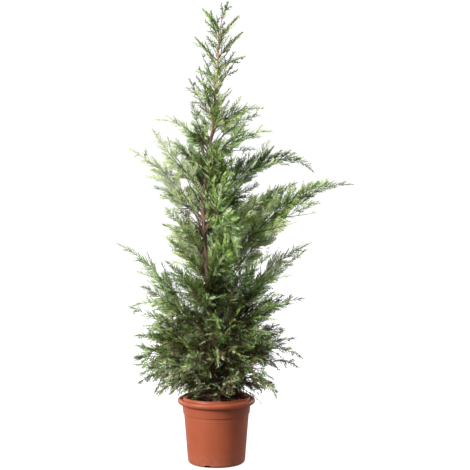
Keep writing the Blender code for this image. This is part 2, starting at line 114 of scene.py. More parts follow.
# The soil: how far its top falls to the wall, its clods, how it meets the pot, and its crumbs.
SOIL_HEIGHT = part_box("soil")[1].z
SOIL_EDGE_DROP = 0.006
SOIL_BUMP = 0.0022
CLODS = ((0.6, 0.030, 41), (0.4, 0.009, 42))
SOIL_OVERLAP = 0.0015
SOIL_GAPS = (0.0004, 0.0008)
SOIL_SHOULDER = 0.014
SOIL_GRID = (46, 140)
CRUMB_COUNT = 2600
CRUMB_SIZES = (0.0010, 0.0036)
CRUMB_EDGE = 0.008
CHIP_SHARE = 0.35

# The trunk: height, sideways lean (x), lean away from the viewer (y), radius.
TRUNK_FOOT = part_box("trunk")[0].z
TRUNK_STATIONS = np.array(
    (
        (TRUNK_FOOT, 0.000, 0.000, 0.0215),
        (0.240, 0.000, 0.000, 0.0160),
        (0.275, -0.002, 0.001, 0.0132),
        (0.470, -0.020, 0.006, 0.0115),
        (0.720, -0.036, 0.010, 0.0092),
        (0.955, -0.052, 0.004, 0.0076),
        (1.110, -0.040, -0.006, 0.0064),
        (1.300, -0.013, -0.004, 0.0050),
        (1.480, 0.003, 0.004, 0.0036),
        (1.600, 0.009, 0.004, 0.0026),
        (1.690, 0.019, 0.000, 0.0018),
    )
)
TRUNK_ROW = 0.003
TRUNK_COLUMNS = 44
TRUNK_SUNK = 0.006
TRUNK_SMOOTHING = 0.016
# Its relief: how many ridges and how deep, as shares of the radius, then buttresses and scars.
TRUNK_RIDGES = ((5, 0.030), (8, 0.026), (13, 0.022), (19, 0.016))
RIDGE_WANDER = (0.02, 0.11)
FLARE_REACH = 0.035
BUTTRESS = 0.09
SCAR_COUNT = 90
SCAR_HEIGHTS = (TRUNK_FOOT + 0.02, 1.6)
SCAR_SIZES = (0.0008, 0.0018)
SCAR_DEPTH = 0.45
SCAR_LENGTH = 1.4

# Every bough: height on the trunk, azimuth (0 is +X, 90 away from the viewer), length, and
# its rise above level in degrees at its root, its middle and its tip.
BOUGHS = {
    "leader": (1.690, 20, 0.086, 76, 70, 70),
    "left_01": (1.615, 172, 0.150, 78, 63, 46),
    "left_02": (1.545, 190, 0.128, 36, 46, 48),
    "left_03": (1.455, 125, 0.170, 45, 52, 52),
    "left_04": (1.335, 222, 0.200, 57, 70, 76),
    "left_05": (1.320, 166, 0.190, 50, 60, 62),
    "left_06": (1.190, 152, 0.310, 52, 30, -12),
    "left_07": (1.045, 190, 0.315, 42, 50, 56),
    "left_08": (0.845, 176, 0.500, 80, 49, 28),
    "left_09": (0.815, 214, 0.250, 34, 46, 44),
    "left_10": (0.515, 180, 0.500, 35, 49, 22),
    "left_11": (0.490, 215, 0.380, 35, 36, 20),
    "left_12": (0.458, 166, 0.390, 45, 28, -34),
    "left_13": (0.390, 200, 0.330, 38, 20, 5),
    "left_14": (0.325, 176, 0.345, 42, 15, -35),
    "left_15": (0.305, 204, 0.330, 38, 12, -32),
    "left_16": (0.285, 166, 0.290, 38, -5, -65),
    "right_01": (1.630, 5, 0.115, 50, 50, 45),
    "right_02": (1.560, -12, 0.135, 40, 46, 35),
    "right_03": (1.510, 20, 0.130, 40, 25, 15),
    "right_04": (1.430, -45, 0.150, 42, 46, 38),
    "right_05": (1.270, -10, 0.235, 52, 25, -12),
    "right_06": (1.200, 38, 0.300, 45, 32, 8),
    "right_07": (1.145, -10, 0.295, 50, 28, -3),
    "right_08": (0.955, 6, 0.530, 47, 30, -50),
    "right_09": (0.780, -28, 0.360, 46, 46, 34),
    "right_10": (0.655, -4, 0.730, 52, 43, -5),
    "right_11": (0.600, 24, 0.640, 51, 44, 10),
    "right_12": (0.550, -38, 0.400, 42, 45, 30),
    "right_13": (0.468, 4, 0.520, 52, 44, 32),
    "right_14": (0.400, -15, 0.420, 52, 36, 5),
    "right_15": (0.335, 38, 0.400, 40, 25, 0),
    "right_16": (0.312, -8, 0.395, 48, 20, -40),
    "right_17": (0.290, 18, 0.380, 40, 12, -34),
    "right_18": (0.282, -24, 0.300, 38, 0, -70),
    "front_01": (1.375, -88, 0.200, 45, 58, 66),
    "front_02": (1.200, -120, 0.220, 40, 58, 65),
    "front_03": (1.080, -62, 0.260, 42, 52, 50),
    "front_04": (0.880, -62, 0.330, 42, 50, 42),
    "front_05": (0.680, -58, 0.355, 45, 48, 30),
    "front_06": (0.570, -125, 0.355, 42, 42, 25),
    "front_07": (0.430, -85, 0.365, 42, 30, 0),
    "front_08": (0.330, -112, 0.320, 42, 15, -30),
    "front_09": (0.370, -52, 0.370, 44, 24, -15),
    "back_01": (1.240, 85, 0.210, 45, 50, 55),
    "back_02": (1.030, 108, 0.300, 45, 45, 40),
    "back_03": (0.850, 65, 0.355, 45, 42, 25),
    "back_04": (0.670, 112, 0.400, 45, 38, 15),
    "back_05": (0.480, 80, 0.410, 42, 30, 5),
    "back_06": (0.380, 118, 0.380, 42, 18, -15),
    "back_07": (0.310, 62, 0.340, 42, 10, -40),
}

# Thinner limbs between them, too slight for solids of their own, in the same terms. They are
# named inner_01, inner_02 and so on.
INNER_LIMBS = (
    (1.625, 120, 0.100, 72, 78, 80), (1.590, 60, 0.085, 60, 66, 70),
    (1.010, 8, 0.200, 54, 54, 48), (0.915, -2, 0.270, 44, 38, 20),
    (0.830, 170, 0.200, 62, 56, 50), (0.720, 182, 0.210, 52, 44, 38),
    (0.700, 190, 0.235, 56, 46, 38), (0.615, 172, 0.185, 50, 46, 40),
    (0.405, 181, 0.385, 42, 31, 22), (0.372, 178, 0.290, 38, 26, 8),
    (0.330, 192, 0.300, 34, 18, -2), (0.285, 186, 0.285, 34, 10, -22),
    (0.262, 174, 0.235, 44, 4, -44), (0.254, 196, 0.210, 48, 6, -46),
    (0.460, 0, 0.410, 50, 24, 8), (0.345, 6, 0.310, 36, 22, 2), (0.262, -4, 0.215, 46, 6, -40),
    (0.254, 16, 0.195, 48, 8, -40), (0.262, -70, 0.170, 52, 14, -30),
    (0.270, -120, 0.180, 50, 12, -30), (0.266, 100, 0.190, 46, 8, -40),
    (0.500, 2, 0.530, 52, 44, 22), (1.660, 168, 0.095, 62, 52, 40),
    (0.520, -96, 0.260, 50, 36, 4), (0.360, -80, 0.250, 46, 20, -24),
    (0.300, -140, 0.260, 40, 12, -34), (0.310, -36, 0.270, 42, 14, -30),
    (0.640, -80, 0.260, 46, 50, 30), (0.935, -48, 0.230, 44, 48, 40),
    (0.290, 178, 0.330, 38, 2, -38), (0.280, 2, 0.250, 40, 4, -40),
    (1.120, 180, 0.165, 44, 44, 40), (0.945, 186, 0.190, 36, 28, 16),
    (0.350, 180, 0.300, 36, 30, 24), (0.310, 184, 0.330, 34, 26, 14),
    (0.285, 180, 0.345, 34, 22, 4), (0.268, 190, 0.255, 42, 0, -55),
    (0.325, 4, 0.360, 40, 27, 6), (0.262, 2, 0.270, 44, 2, -50),
    (0.930, -60, 0.340, 34, -26, -78), (0.430, 95, 0.250, 44, 50, 40),
    (0.330, 80, 0.250, 46, 44, 30), (0.560, 70, 0.240, 50, 54, 44),
    (0.800, 3, 0.410, 46, 42, 18), (0.640, 178, 0.170, 30, 26, 14),
    (0.650, -8, 0.200, 34, 26, 10), (0.600, -34, 0.220, 40, 30, 14),
    (1.105, 172, 0.200, 50, 46, 30), (0.745, 8, 0.500, 54, 46, 20),
    (0.395, 181, 0.330, 38, 16, 0), (1.010, -36, 0.230, 42, 50, 44),
    (0.900, -24, 0.250, 40, 50, 44), (0.670, -40, 0.260, 48, 56, 50),
    (0.420, -42, 0.280, 48, 56, 50), (1.290, -62, 0.150, 44, 58, 56),
    (0.400, 20, 0.300, 48, 40, 14), (0.330, 182, 0.340, 34, 22, 8),
    (0.800, 183, 0.215, 46, 36, 26), (0.935, 186, 0.235, 50, 34, 18),
    (0.330, 0, 0.330, 44, 34, 20), (0.300, 184, 0.330, 26, 14, 4),
    (0.280, 3, 0.240, 40, 28, 14),
)
# How full of small shoots a bough is beside the rest, where the photo shows it slighter or fuller.
FULLNESS = {
    "left_06": 0.72, "left_07": 0.95, "left_08": 0.84, "left_10": 0.70, "left_12": 0.80,
    "left_13": 1.15, "left_14": 1.20, "right_08": 0.92, "right_10": 0.82, "right_11": 0.72,
    "right_12": 0.76, "right_13": 0.72, "right_14": 0.84, "right_15": 1.20, "right_16": 0.90,
    "right_17": 0.85, "front_03": 0.88, "front_06": 0.75, "back_01": 0.50, "inner_14": 1.25,
    "inner_18": 1.25, "inner_22": 0.80, "inner_35": 1.20, "inner_36": 1.25, "inner_37": 1.25,
    "inner_38": 0.85, "inner_39": 1.20, "inner_51": 1.25, "inner_52": 1.20, "inner_53": 1.25,
    "inner_54": 1.25, "inner_55": 1.20,
}
LIMBED = ("left_08", "left_10", "right_08", "right_10", "right_11", "right_13")
LIMB_SHARE = 0.26
PATH_STEPS = 24
BOUGH_ROOT_RADIUS = 0.0021
BOUGH_RADIUS_PER_METRE = 0.0044
MOST_SHARE_OF_TRUNK = 0.80
LIMB_TIP_RADIUS = 0.0007
LIMB_TAPER = 1.7
LIMB_SIDES = 9
LIMB_STATIONS = 64
LIMB_SPLIT = 26
LIMB_SMOOTHING = (-0.02, 0, 0.02)
SWELLING = 0.5
SWELLING_FLAT = 0.006
SWELLING_FADE = 0.010
KNOTS = ((0.09, 0.012, 45),)

# The source's rule for a plume: how its spray lies and how its side shoots leave it.
SEED = 1871
SPRAY_START_SHARE = 0.10
LIMB_GAP = 0.01
SPRAY_TOOTH_SPACING = 0.050
SPRAY_ROLL = 48.0
LEAST_TEETH = 2
FEWEST_SHOOTS = 1.2
SHOOTS_PER_METRE = 6.2
FIRST_SHOOT_SHARE = 0.22
FIRST_SHOOT_PAST_LIMB = 0.06
LAST_SHOOT_SHARE = 0.66
SHOOT_ANGLE_ROOT = 50.0
SHOOT_ANGLE_TIP = 36.0
SHOOT_SCATTER = 28.0
SHOOT_LENGTH = 0.028
SHOOT_LENGTH_PER_REST = 0.45
SHOOT_UNEVENNESS = (0.88, 1.12)
SHOOT_SHIFT = 0.2
SHOOT_BEND = 0.16
BLADE_TWIST = 25.0

# Finer growth: the shoots between the source's own, then branchlets, sprays and leaflets.
SMALL_SHOOTS_PER_METRE = 27.0
SMALL_SHOOT_OPENING = (-8.0, 42.0)
SMALL_SHOOT_SHARE = 0.62
SMALL_SHOOT_UNEVENNESS = (0.7, 1.2)
SMALL_SHOOT_SCATTER = 75
SMALL_SHOOT_TWIST = 80.0
LAST_SMALL_SHOOT = 0.92
FEATHER_SHOOT_SHARE = 0.45
UNDERSIDE_FULL = 0.6
SPACE_SLACK = 0.035
LIMB_MARGIN = 0.006
POT_MARGIN = 0.003
POT_MOUTH_RADIUS = 0.116
CURVE_TESTS = (1.0, 0.3, 0.65)
CHUNK = 1500
# Shoots straight from the trunk: plumes all the way up, long ones low down, short ones at the
# foot and flat ones over the pot's mouth. "bare" is the share of a shoot that bears nothing,
# "facing" the share of shoots whose sprays lie flat to the sight from outside.
TrunkShoots = namedtuple("TrunkShoots", "seed count heights lengths tilts bare rise facing")
TRUNK_SHOOTS = (
    TrunkShoots(46, 220, (0.30, 1.64), (0.100, 0.175), (22.0, 60.0), 0.14, 0.10, 0.6),
    TrunkShoots(48, 58, (0.29, 0.86), (0.170, 0.290), (48.0, 84.0), 0.45, 0.00, 0.8),
    TrunkShoots(47, 96, (0.236, 0.40), (0.100, 0.200), (46.0, 84.0), 0.34, 0.12, 0.3),
    TrunkShoots(49, 46, (0.236, 0.31), (0.080, 0.150), (62.0, 96.0), 0.22, -0.12, 0.3),
)
TRUNK_SHOOT_CROWDING = 1.15
TRUNK_SHOOT_SWAY = 0.4
TRUNK_SHOOT_PINCH = 0.05
TRUNK_SHOOT_HEIGHTS = (0.30, 1.15, 1.35, 1.60)
TRUNK_SHOOT_SIZES = (1.0, 0.95, 0.75, 0.42)
FACING_SPREAD = 0.35
SPACE_TEST_SHARE = 0.6
# Stretches of the trunk that bear no shoots in front, and how far they reach down and round it.
TRUNK_WINDOWS = ((0.700, 0.880), (0.940, 0.990), (1.230, 1.300), (1.480, 1.600))
WINDOW_BELOW = 0.06
WINDOW_HALF_WIDTH = math.radians(50)
# Gaps that the photo sees the sky through, at the trunk's distance: x, z, radius.
SKY_GAPS = np.array(
    (
        (-0.070, 1.314, 0.009), (-0.024, 1.268, 0.011), (0.006, 1.264, 0.020),
        (0.037, 1.253, 0.013), (0.080, 1.195, 0.016), (0.148, 1.195, 0.009),
        (0.095, 1.186, 0.012), (0.041, 1.172, 0.010), (-0.143, 1.172, 0.006),
        (0.217, 1.138, 0.010), (-0.162, 1.122, 0.008), (0.225, 1.112, 0.018),
        (-0.120, 1.076, 0.016), (-0.116, 0.988, 0.014), (-0.062, 0.954, 0.009),
        (-0.089, 0.950, 0.014), (0.296, 0.947, 0.025), (0.345, 0.935, 0.032),
        (-0.158, 0.920, 0.010), (0.179, 0.820, 0.012), (0.171, 0.751, 0.018),
        (-0.216, 0.747, 0.014), (0.252, 0.712, 0.010), (0.296, 0.612, 0.015),
        (-0.285, 0.574, 0.010), (-0.160, 0.560, 0.007), (-0.254, 0.548, 0.014),
        (0.225, 0.429, 0.009), (-0.239, 0.417, 0.012), (0.156, 0.367, 0.016),
        (0.123, 0.329, 0.015), (-0.120, 0.295, 0.007), (0.114, 0.291, 0.006),
    )
)
GAP_MARGIN = 0.003
# Deep shade that the photo shows between boughs, at the trunk's distance: x, z,
# reach and how much darker the sprays are there.
HOLLOWS = (
    (-0.095, 1.255, 0.045, 0.34), (-0.030, 1.130, 0.045, 0.36), (0.195, 1.190, 0.038, 0.30),
    (0.095, 1.345, 0.045, 0.24), (0.060, 1.055, 0.030, 0.20), (0.215, 0.655, 0.032, 0.24),
    (-0.175, 0.655, 0.042, 0.28), (0.060, 0.660, 0.030, 0.22), (0.125, 0.590, 0.042, 0.26),
    (-0.165, 0.510, 0.032, 0.22), (0.130, 0.740, 0.030, 0.20),
)
# Stretches of the trunk that nothing hangs in front of, and how wide they are kept free.
TRUNK_VIEWS = ((0.725, 0.870), (0.945, 0.985), (1.290, 1.315))
VIEW_HALF_WIDTH = 0.013
# From here up, side growth is short and close like a feather, and gets slighter.
FEATHER_HEIGHT = 1.38
SLIGHT_HEIGHTS = (1.15, 1.45)
SLIGHT_SHARE = 0.74
GOLDEN_ANGLE = math.radians(137.5)
SHORTER = (1.0, 0.82, 0.67, 0.55, 0.45, 0.36)


def unit(vectors):
    """Each vector scaled to length 1."""
    return vectors / np.maximum(np.linalg.norm(vectors, axis=-1, keepdims=True), 1e-12)


def ramp(values, low, high):
    """0 up to low, 1 from high on, and straight between them."""
    return np.clip((values - low) / (high - low), 0, 1)


def swing(angle):
    """An angle in radians brought to between minus and plus half a turn."""
    return (angle + math.pi) % (2 * math.pi) - math.pi


def lumps(points, size, seed, waves=22):
    """Smooth unevenness between about -1 and 1: plane waves of about that size, in seeded ways."""
    rng = np.random.default_rng(seed)
    ways = unit(rng.normal(size=(waves, 3))) * rng.uniform(0.6, 1.7, (waves, 1))
    phase = rng.uniform(0, 2 * math.pi, waves)
    return np.sin(points @ ways.T * (2 * math.pi / size) + phase).sum(-1) / math.sqrt(2 * waves)


def layered(points, layers):
    """Lumps of several sizes as one: each layer has a share, a size and a seed."""
    return sum(share * lumps(points, size, seed) for share, size, seed in layers)


def swept(first, second, angle):
    """Vectors turned by angles from the first towards the second, which is square to it."""
    return first * np.cos(angle)[:, None] + second * np.sin(angle)[:, None]


def interpolated(places, known, rows):
    """Rows of values read at places between known ones."""
    return np.stack([np.interp(places, known, column) for column in rows.T], -1)


def ring_faces(rows, columns):
    """Triangles between neighbouring rings of points, and from each end ring to a pole. The two
    poles come after the rings' points."""
    here = np.arange(columns)
    beside = (here + 1) % columns
    rise = np.arange(rows - 1)[:, None] * columns
    quads = np.stack([here + rise, beside + rise, beside + rise + columns, here + rise + columns], -1)
    quads = quads.reshape(-1, 4)
    pole = np.full(columns, rows * columns)
    last = (rows - 1) * columns
    low_cap = np.stack([pole, beside, here], -1)
    high_cap = np.stack([pole + 1, last + here, last + beside], -1)
    return np.concatenate([quads[:, [0, 1, 2]], quads[:, [0, 2, 3]], low_cap, high_cap])


def new_piece(name, shape, material, replaced=(), smooth=False):
    """A mesh object from whole arrays of points and triangles, riding on the plant."""
    vertices, faces = shape
    mesh = bpy.data.meshes.new(name)
    mesh.vertices.add(len(vertices))
    mesh.vertices.foreach_set("co", np.ascontiguousarray(vertices, np.float32).ravel())
    mesh.loops.add(faces.size)
    mesh.loops.foreach_set("vertex_index", np.ascontiguousarray(faces, np.int32).ravel())
    mesh.polygons.add(len(faces))
    mesh.polygons.foreach_set("loop_start", np.arange(0, faces.size, 3, dtype=np.int32))
    mesh.polygons.foreach_set("use_smooth", np.full(len(faces), smooth))
    mesh.update(calc_edges=True)
    mesh.validate()
    mesh.materials.append(material)
    piece = bpy.data.objects.new(name, mesh)
    bpy.context.scene.collection.objects.link(piece)
    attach(piece, "root")
    if replaced:
        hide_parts(*replaced)


def set_inputs(tree, node, inputs):
    """A node's inputs, each linked to a socket or set to a value."""
    for name, value in inputs.items():
        if isinstance(value, bpy.types.NodeSocket):
            tree.links.new(value, node.inputs[name])
        else:
            node.inputs[name].default_value = value


def add_node(tree, kind, inputs=None, **settings):
    """A node with its settings and its inputs' values or links."""
    node = tree.nodes.new(kind)
    for name, value in settings.items():
        setattr(node, name, value)
    set_inputs(tree, node, inputs or {})
    return node


def blend_colours(tree, factor, first, second):
    """A mix of two colours, or a colour and a socket, by a factor."""
    inputs = {"Factor": factor, 6: first, 7: second}
    return add_node(tree, "ShaderNodeMix", inputs, data_type="RGBA").outputs[2]


def mottle_group():
    """Uneven tone: noise on Object coordinates, drawn out along Z, from a dark to a light colour."""
    group = bpy.data.node_groups.new("mottle", "ShaderNodeTree")
    for way, kind, names in (
        ("INPUT", "NodeSocketFloat", ("Scale", "Detail", "Stretch", "Contrast")),
        ("INPUT", "NodeSocketColor", ("Dark", "Light")),
        ("OUTPUT", "NodeSocketColor", ("Colour",)),
        ("OUTPUT", "NodeSocketFloat", ("Mask",)),
    ):
        for name in names:
            group.interface.new_socket(name, in_out=way, socket_type=kind)
    given = add_node(group, "NodeGroupInput").outputs
    place = add_node(group, "ShaderNodeTexCoord").outputs["Object"]
    draw = add_node(group, "ShaderNodeCombineXYZ", {"X": 1.0, "Y": 1.0, "Z": given["Stretch"]})
    drawn = add_node(group, "ShaderNodeMapping", {"Vector": place, "Scale": draw.outputs[0]})
    grain = {"Vector": drawn.outputs[0], "Scale": given["Scale"], "Detail": given["Detail"]}
    noise = add_node(group, "ShaderNodeTexNoise", grain)
    centred = add_node(group, "ShaderNodeMath", {0: noise.outputs[0], 1: 0.5}, operation="SUBTRACT")
    terms = {0: centred.outputs[0], 1: given["Contrast"], 2: 0.5}
    spread = add_node(group, "ShaderNodeMath", terms, operation="MULTIPLY_ADD", use_clamp=True)
    mixed = blend_colours(group, spread.outputs[0], given["Dark"], given["Light"])
    add_node(group, "NodeGroupOutput", {"Colour": mixed, "Mask": spread.outputs[0]})
    return group


MOTTLE = mottle_group()


def tint(colour, share=1.0):
    """A colour with its full alpha, brighter or darker by a share."""
    return (*(min(channel * share, 1.0) for channel in colour), 1.0)


def mottle(tree, dark, light, scale, detail=2.0, stretch=1.0, contrast=2.0):
    """One use of the mottle group; gives its node."""
    values = {
        "Scale": scale,
        "Detail": detail,
        "Stretch": stretch,
        "Contrast": contrast,
        "Dark": tint(dark),
        "Light": tint(light),
    }
    return add_node(tree, "ShaderNodeGroup", values, node_tree=MOTTLE)


def ranged(tree, value, low, high, to_low, to_high):
    """A value carried from one range to another, and kept inside it."""
    inputs = {"Value": value, "From Min": low, "From Max": high, "To Min": to_low, "To Max": to_high}
    return add_node(tree, "ShaderNodeMapRange", inputs).outputs[0]


def height_share(tree, low, high):
    """0 at one height of the piece and 1 at another."""
    place = add_node(tree, "ShaderNodeTexCoord").outputs["Object"]
    z = add_node(tree, "ShaderNodeSeparateXYZ", {"Vector": place}).outputs["Z"]
    return ranged(tree, z, low, high, 0.0, 1.0)


def new_finish(name, roughness, **more):
    """A material, its node tree and its Principled shader."""
    material = bpy.data.materials.new(name)
    material.use_nodes = True
    tree = material.node_tree
    shader = tree.nodes["Principled BSDF"]
    set_inputs(tree, shader, {"Roughness": roughness, **more})
    return material, tree, shader


def bumped(tree, shader, height, strength, distance):
    """Relief on the shader's normal from a height."""
    inputs = {"Strength": strength, "Distance": distance, "Height": height}
    set_inputs(tree, shader, {"Normal": add_node(tree, "ShaderNodeBump", inputs).outputs[0]})


BLACK = (0.0, 0.0, 0.0)
WHITE = (1.0, 1.0, 1.0)
DUST_TOP = 0.06
MOST_DUST = 0.22
BARK_TURNS = (0.70, 1.35)
BARK_ENDS = (1.58, 1.67)


def plastic_finish():
    """Moulded terracotta plastic: a satin skin, uneven tone, and dust towards the foot."""
    gloss = {"Specular IOR Level": 0.32}
    material, tree, shader = new_finish("terracotta_plastic", 0.42, **gloss)
    broad = mottle(tree, (0.322, 0.071, 0.028), (0.370, 0.084, 0.035), 11.0, 3.0)
    dust = mottle(tree, BLACK, WHITE, 60.0, 4.0, contrast=3.0).outputs["Mask"]
    low = height_share(tree, DUST_TOP, 0.0)
    amount = add_node(tree, "ShaderNodeMath", {0: low, 1: dust}, operation="MULTIPLY").outputs[0]
    faint = ranged(tree, amount, 0.0, 1.0, 0.0, MOST_DUST)
    colour = blend_colours(tree, faint, broad.outputs["Colour"], tint((0.42, 0.30, 0.22)))
    skin = mottle(tree, BLACK, WHITE, 900.0, 1.0).outputs["Mask"]
    rough = ranged(tree, skin, 0.0, 1.0, 0.38, 0.50)
    set_inputs(tree, shader, {"Base Color": colour, "Roughness": rough})
    bumped(tree, shader, skin, 0.12, 0.0002)
    return material


def flecked_finish(name, dark, light, scale, detail, roughness, relief=None, **more):
    """A skin of two near tones in small flecks, which also stand out by a strength and a height."""
    material, tree, shader = new_finish(name, roughness, **more)
    flecks = mottle(tree, dark, light, scale, detail)
    set_inputs(tree, shader, {"Base Color": flecks.outputs["Colour"]})
    if relief:
        bumped(tree, shader, flecks.outputs["Mask"], *relief)
    return material


def trunk_finish():
    """Bark: grey-brown fibres at the foot, smooth orange-brown higher up, green at the top."""
    material, tree, shader = new_finish("trunk_bark", 0.78)
    old = mottle(tree, (0.085, 0.055, 0.038), (0.30, 0.21, 0.155), 150.0, 4.0, 0.14, 2.6)
    young = mottle(tree, (0.27, 0.125, 0.062), (0.54, 0.33, 0.20), 120.0, 3.0, 0.25, 2.2)
    share = height_share(tree, *BARK_TURNS)
    colour = blend_colours(tree, share, old.outputs["Colour"], young.outputs["Colour"])
    colour = blend_colours(tree, height_share(tree, *BARK_ENDS), colour, tint((0.17, 0.18, 0.055)))
    set_inputs(tree, shader, {"Base Color": colour})
    bumped(tree, shader, old.outputs["Mask"], 0.5, 0.0012)
    return material


def soil_finish(name, dark, light):
    """Damp peat or bark chips: dull, dark crumbs."""
    return flecked_finish(name, dark, light, 260.0, 3.0, 0.92, (0.6, 0.001))


def stem_finish(name, dark, light, scale, roughness):
    """A limb's or a twig's skin."""
    return flecked_finish(name, dark, light, scale, 2.0, roughness, (0.3, 0.0004))


def leaf_finish(name, colour):
    """Scale leaves: one plain green, a touch uneven, with a soft waxy gloss."""
    dark, light = tint(colour, 0.88)[:3], tint(colour, 1.12)[:3]
    return flecked_finish(name, dark, light, 90.0, 1.0, 0.45, **{"Specular IOR Level": 0.24})


def turned(profile, azimuths):
    """Points of a (radius, height) profile carried round Z, a ring for each of its rows."""
    radius, height = profile[:, :1], profile[:, 1:]
    return np.stack(
        [
            radius * np.cos(azimuths),
            radius * np.sin(azimuths),
            np.broadcast_to(height, (len(profile), len(azimuths))),
        ],
        -1,
    )


def closed_rings(rings):
    """Points and triangles of rings, closed by a pole at the middle of each end ring."""
    rows, columns, _ = rings.shape
    vertices = np.concatenate([rings.reshape(-1, 3), rings[:1].mean(1), rings[-1:].mean(1)])
    return vertices, ring_faces(rows, columns)


def arc(centre, height, radius, first, last, count):
    """Points on an arc of a profile from angle first to last, 0 outwards and 90 up."""
    angle = np.radians(np.linspace(first, last, count))
    return np.stack([centre + radius * np.cos(angle), height + radius * np.sin(angle)], -1)


def pot_side(height):
    """The outer radius at a height: a straight body, a bead, a soft step and a flared collar."""
    body_share = (height - FOOT_ROUNDING) / (COLLAR_FOOT_HEIGHT - FOOT_ROUNDING)
    body = BODY_FOOT_RADIUS + (BODY_TOP_RADIUS - BODY_FOOT_RADIUS) * body_share
    bead = BEAD_PROUD * np.exp(-(((height - BEAD_HEIGHT) / BEAD_HALF_WIDTH) ** 2))
    roll_foot = POT_HEIGHT - ROLL_DROP - 2 * RIM_ROLL
    collar_share = (height - COLLAR_FOOT_HEIGHT) / (POT_HEIGHT - RIM_ROLL - COLLAR_FOOT_HEIGHT)
    collar = COLLAR_FOOT_RADIUS + (COLLAR_RADIUS - COLLAR_FOOT_RADIUS) * collar_share
    collar -= UNDERCUT * ramp(height, roll_foot - UNDERCUT_HEIGHT, roll_foot) ** 2
    step = 0.5 + 0.5 * np.tanh((height - COLLAR_FOOT_HEIGHT) / STEP_SOFTNESS)
    return (body + bead) * (1 - step) + collar * step


def pot_profile():
    """From the middle of the underside, out, up the side, over the rolled rim, down into the
    groove behind it, over the inner lip and down inside."""
    roll_centre = RIM_RADIUS - RIM_ROLL
    roll_height = POT_HEIGHT - RIM_ROLL - ROLL_DROP
    foot = BODY_FOOT_RADIUS - FOOT_ROUNDING
    notch_end = BODY_FOOT_RADIUS - NOTCH_DEPTH
    recess = [(CENTRE_RADIUS, BASE_RECESS), (RECESS_RADIUS, BASE_RECESS)]
    edge = [(notch_end - inset, height) for inset, height in RECESS_EDGE]
    under_roll = roll_height - RIM_ROLL
    stretches = (
        (FOOT_ROUNDING, BEAD_HEIGHT - PLAIN_GAP, 16),
        (BEAD_HEIGHT - BEAD_REACH, BEAD_HEIGHT + BEAD_REACH, 9),
        (COLLAR_FOOT_HEIGHT - STEP_REACH, COLLAR_FOOT_HEIGHT + STEP_REACH, 13),
        (COLLAR_FOOT_HEIGHT + PLAIN_GAP, under_roll - UNDERCUT_HEIGHT, 6),
        (under_roll + UNDERCUT_ROWS[0], under_roll + UNDERCUT_ROWS[1], 5),
    )
    heights = np.concatenate([np.linspace(*stretch) for stretch in stretches])
    side = np.stack([pot_side(heights), heights], -1)
    roll = arc(roll_centre, roll_height, RIM_ROLL, *ROLL_ANGLES, 26)
    lip_half = LIP_THICKNESS / 2
    groove = [(LIP_RADIUS + lip_half + out, roll_height + up) for out, up in GROOVE]
    lip = arc(LIP_RADIUS, POT_HEIGHT + LIP_PROUD - lip_half, lip_half, 0, 180, 9)
    inside = [
        (LIP_RADIUS - lip_half, roll_height - LIP_DEPTH),
        (COLLAR_RADIUS - WALL - SHOULDER_INSET, roll_height - SHOULDER_DEPTH),
        (COLLAR_FOOT_RADIUS - WALL, COLLAR_FOOT_HEIGHT + INNER_STEP),
        (BODY_TOP_RADIUS - WALL, COLLAR_FOOT_HEIGHT - INNER_STEP),
        (BODY_FOOT_RADIUS - WALL, FLOOR + FOOT_ROUNDING),
        (foot, FLOOR),
        (CENTRE_RADIUS, FLOOR),
    ]
    round_foot = arc(foot, FOOT_ROUNDING, FOOT_ROUNDING, -90, 0, 14)
    base = [*recess, *edge, (foot, 0.0), *round_foot[1:]]
    return np.concatenate([base, side[1:], roll, groove, lip, inside])


def build_pot():
    """The profile turned round Z, with the foot lifted over each notch by a squared-off arch."""
    half = NOTCH_WIDTH / 2 / BODY_FOOT_RADIUS
    notches = np.radians(NOTCH_FIRST_AZIMUTH + np.arange(NOTCH_COUNT) * 360.0 / NOTCH_COUNT)
    edges = half * NOTCH_COLUMNS
    around = np.linspace(-math.pi, math.pi, POT_COLUMNS, endpoint=False)
    extra = swing((notches[:, None] + np.concatenate([-edges, [0.0], edges])).ravel())
    clear = np.abs(swing(around[:, None] - extra)).min(1) > COLUMN_GAP
    azimuths = np.sort(np.concatenate([around[clear], extra]))
    rings = turned(pot_profile(), azimuths)
    share = np.clip(np.abs(swing(azimuths[:, None] - notches)).min(1) / half, 0, 1)
    arch = NOTCH_HEIGHT * (1 - share**NOTCH_SQUARENESS) ** (1 / NOTCH_SQUARENESS)
    radius = np.hypot(rings[..., 0], rings[..., 1])
    cut = radius > BODY_FOOT_RADIUS - NOTCH_DEPTH - NOTCH_SLACK
    cut &= (rings[..., 2] < NOTCH_HEIGHT) & (np.arange(len(rings))[:, None] < len(rings) - INSIDE_ROWS)
    rings[..., 2] = np.where(cut, np.maximum(rings[..., 2], arch), rings[..., 2])
    warp = 1 + WARP * np.sin(2 * azimuths + 0.7) * (rings[..., 2] / POT_HEIGHT) ** 2
    rings[..., :2] *= warp[..., None]
    new_piece("pot_shell", closed_rings(rings), plastic_finish(), ["pot"], True)


def soil_top(points):
    """The soil's height at points: a low crown that falls to the wall, with clods."""
    radius = np.hypot(points[:, 0], points[:, 1])
    fall = SOIL_EDGE_DROP * np.clip(radius / COLLAR_FOOT_RADIUS, 0, 1) ** 2
    level = np.stack([points[:, 0], points[:, 1], np.zeros(len(points))], -1)
    return SOIL_HEIGHT - SOIL_BUMP - fall + SOIL_BUMP * layered(level, CLODS)


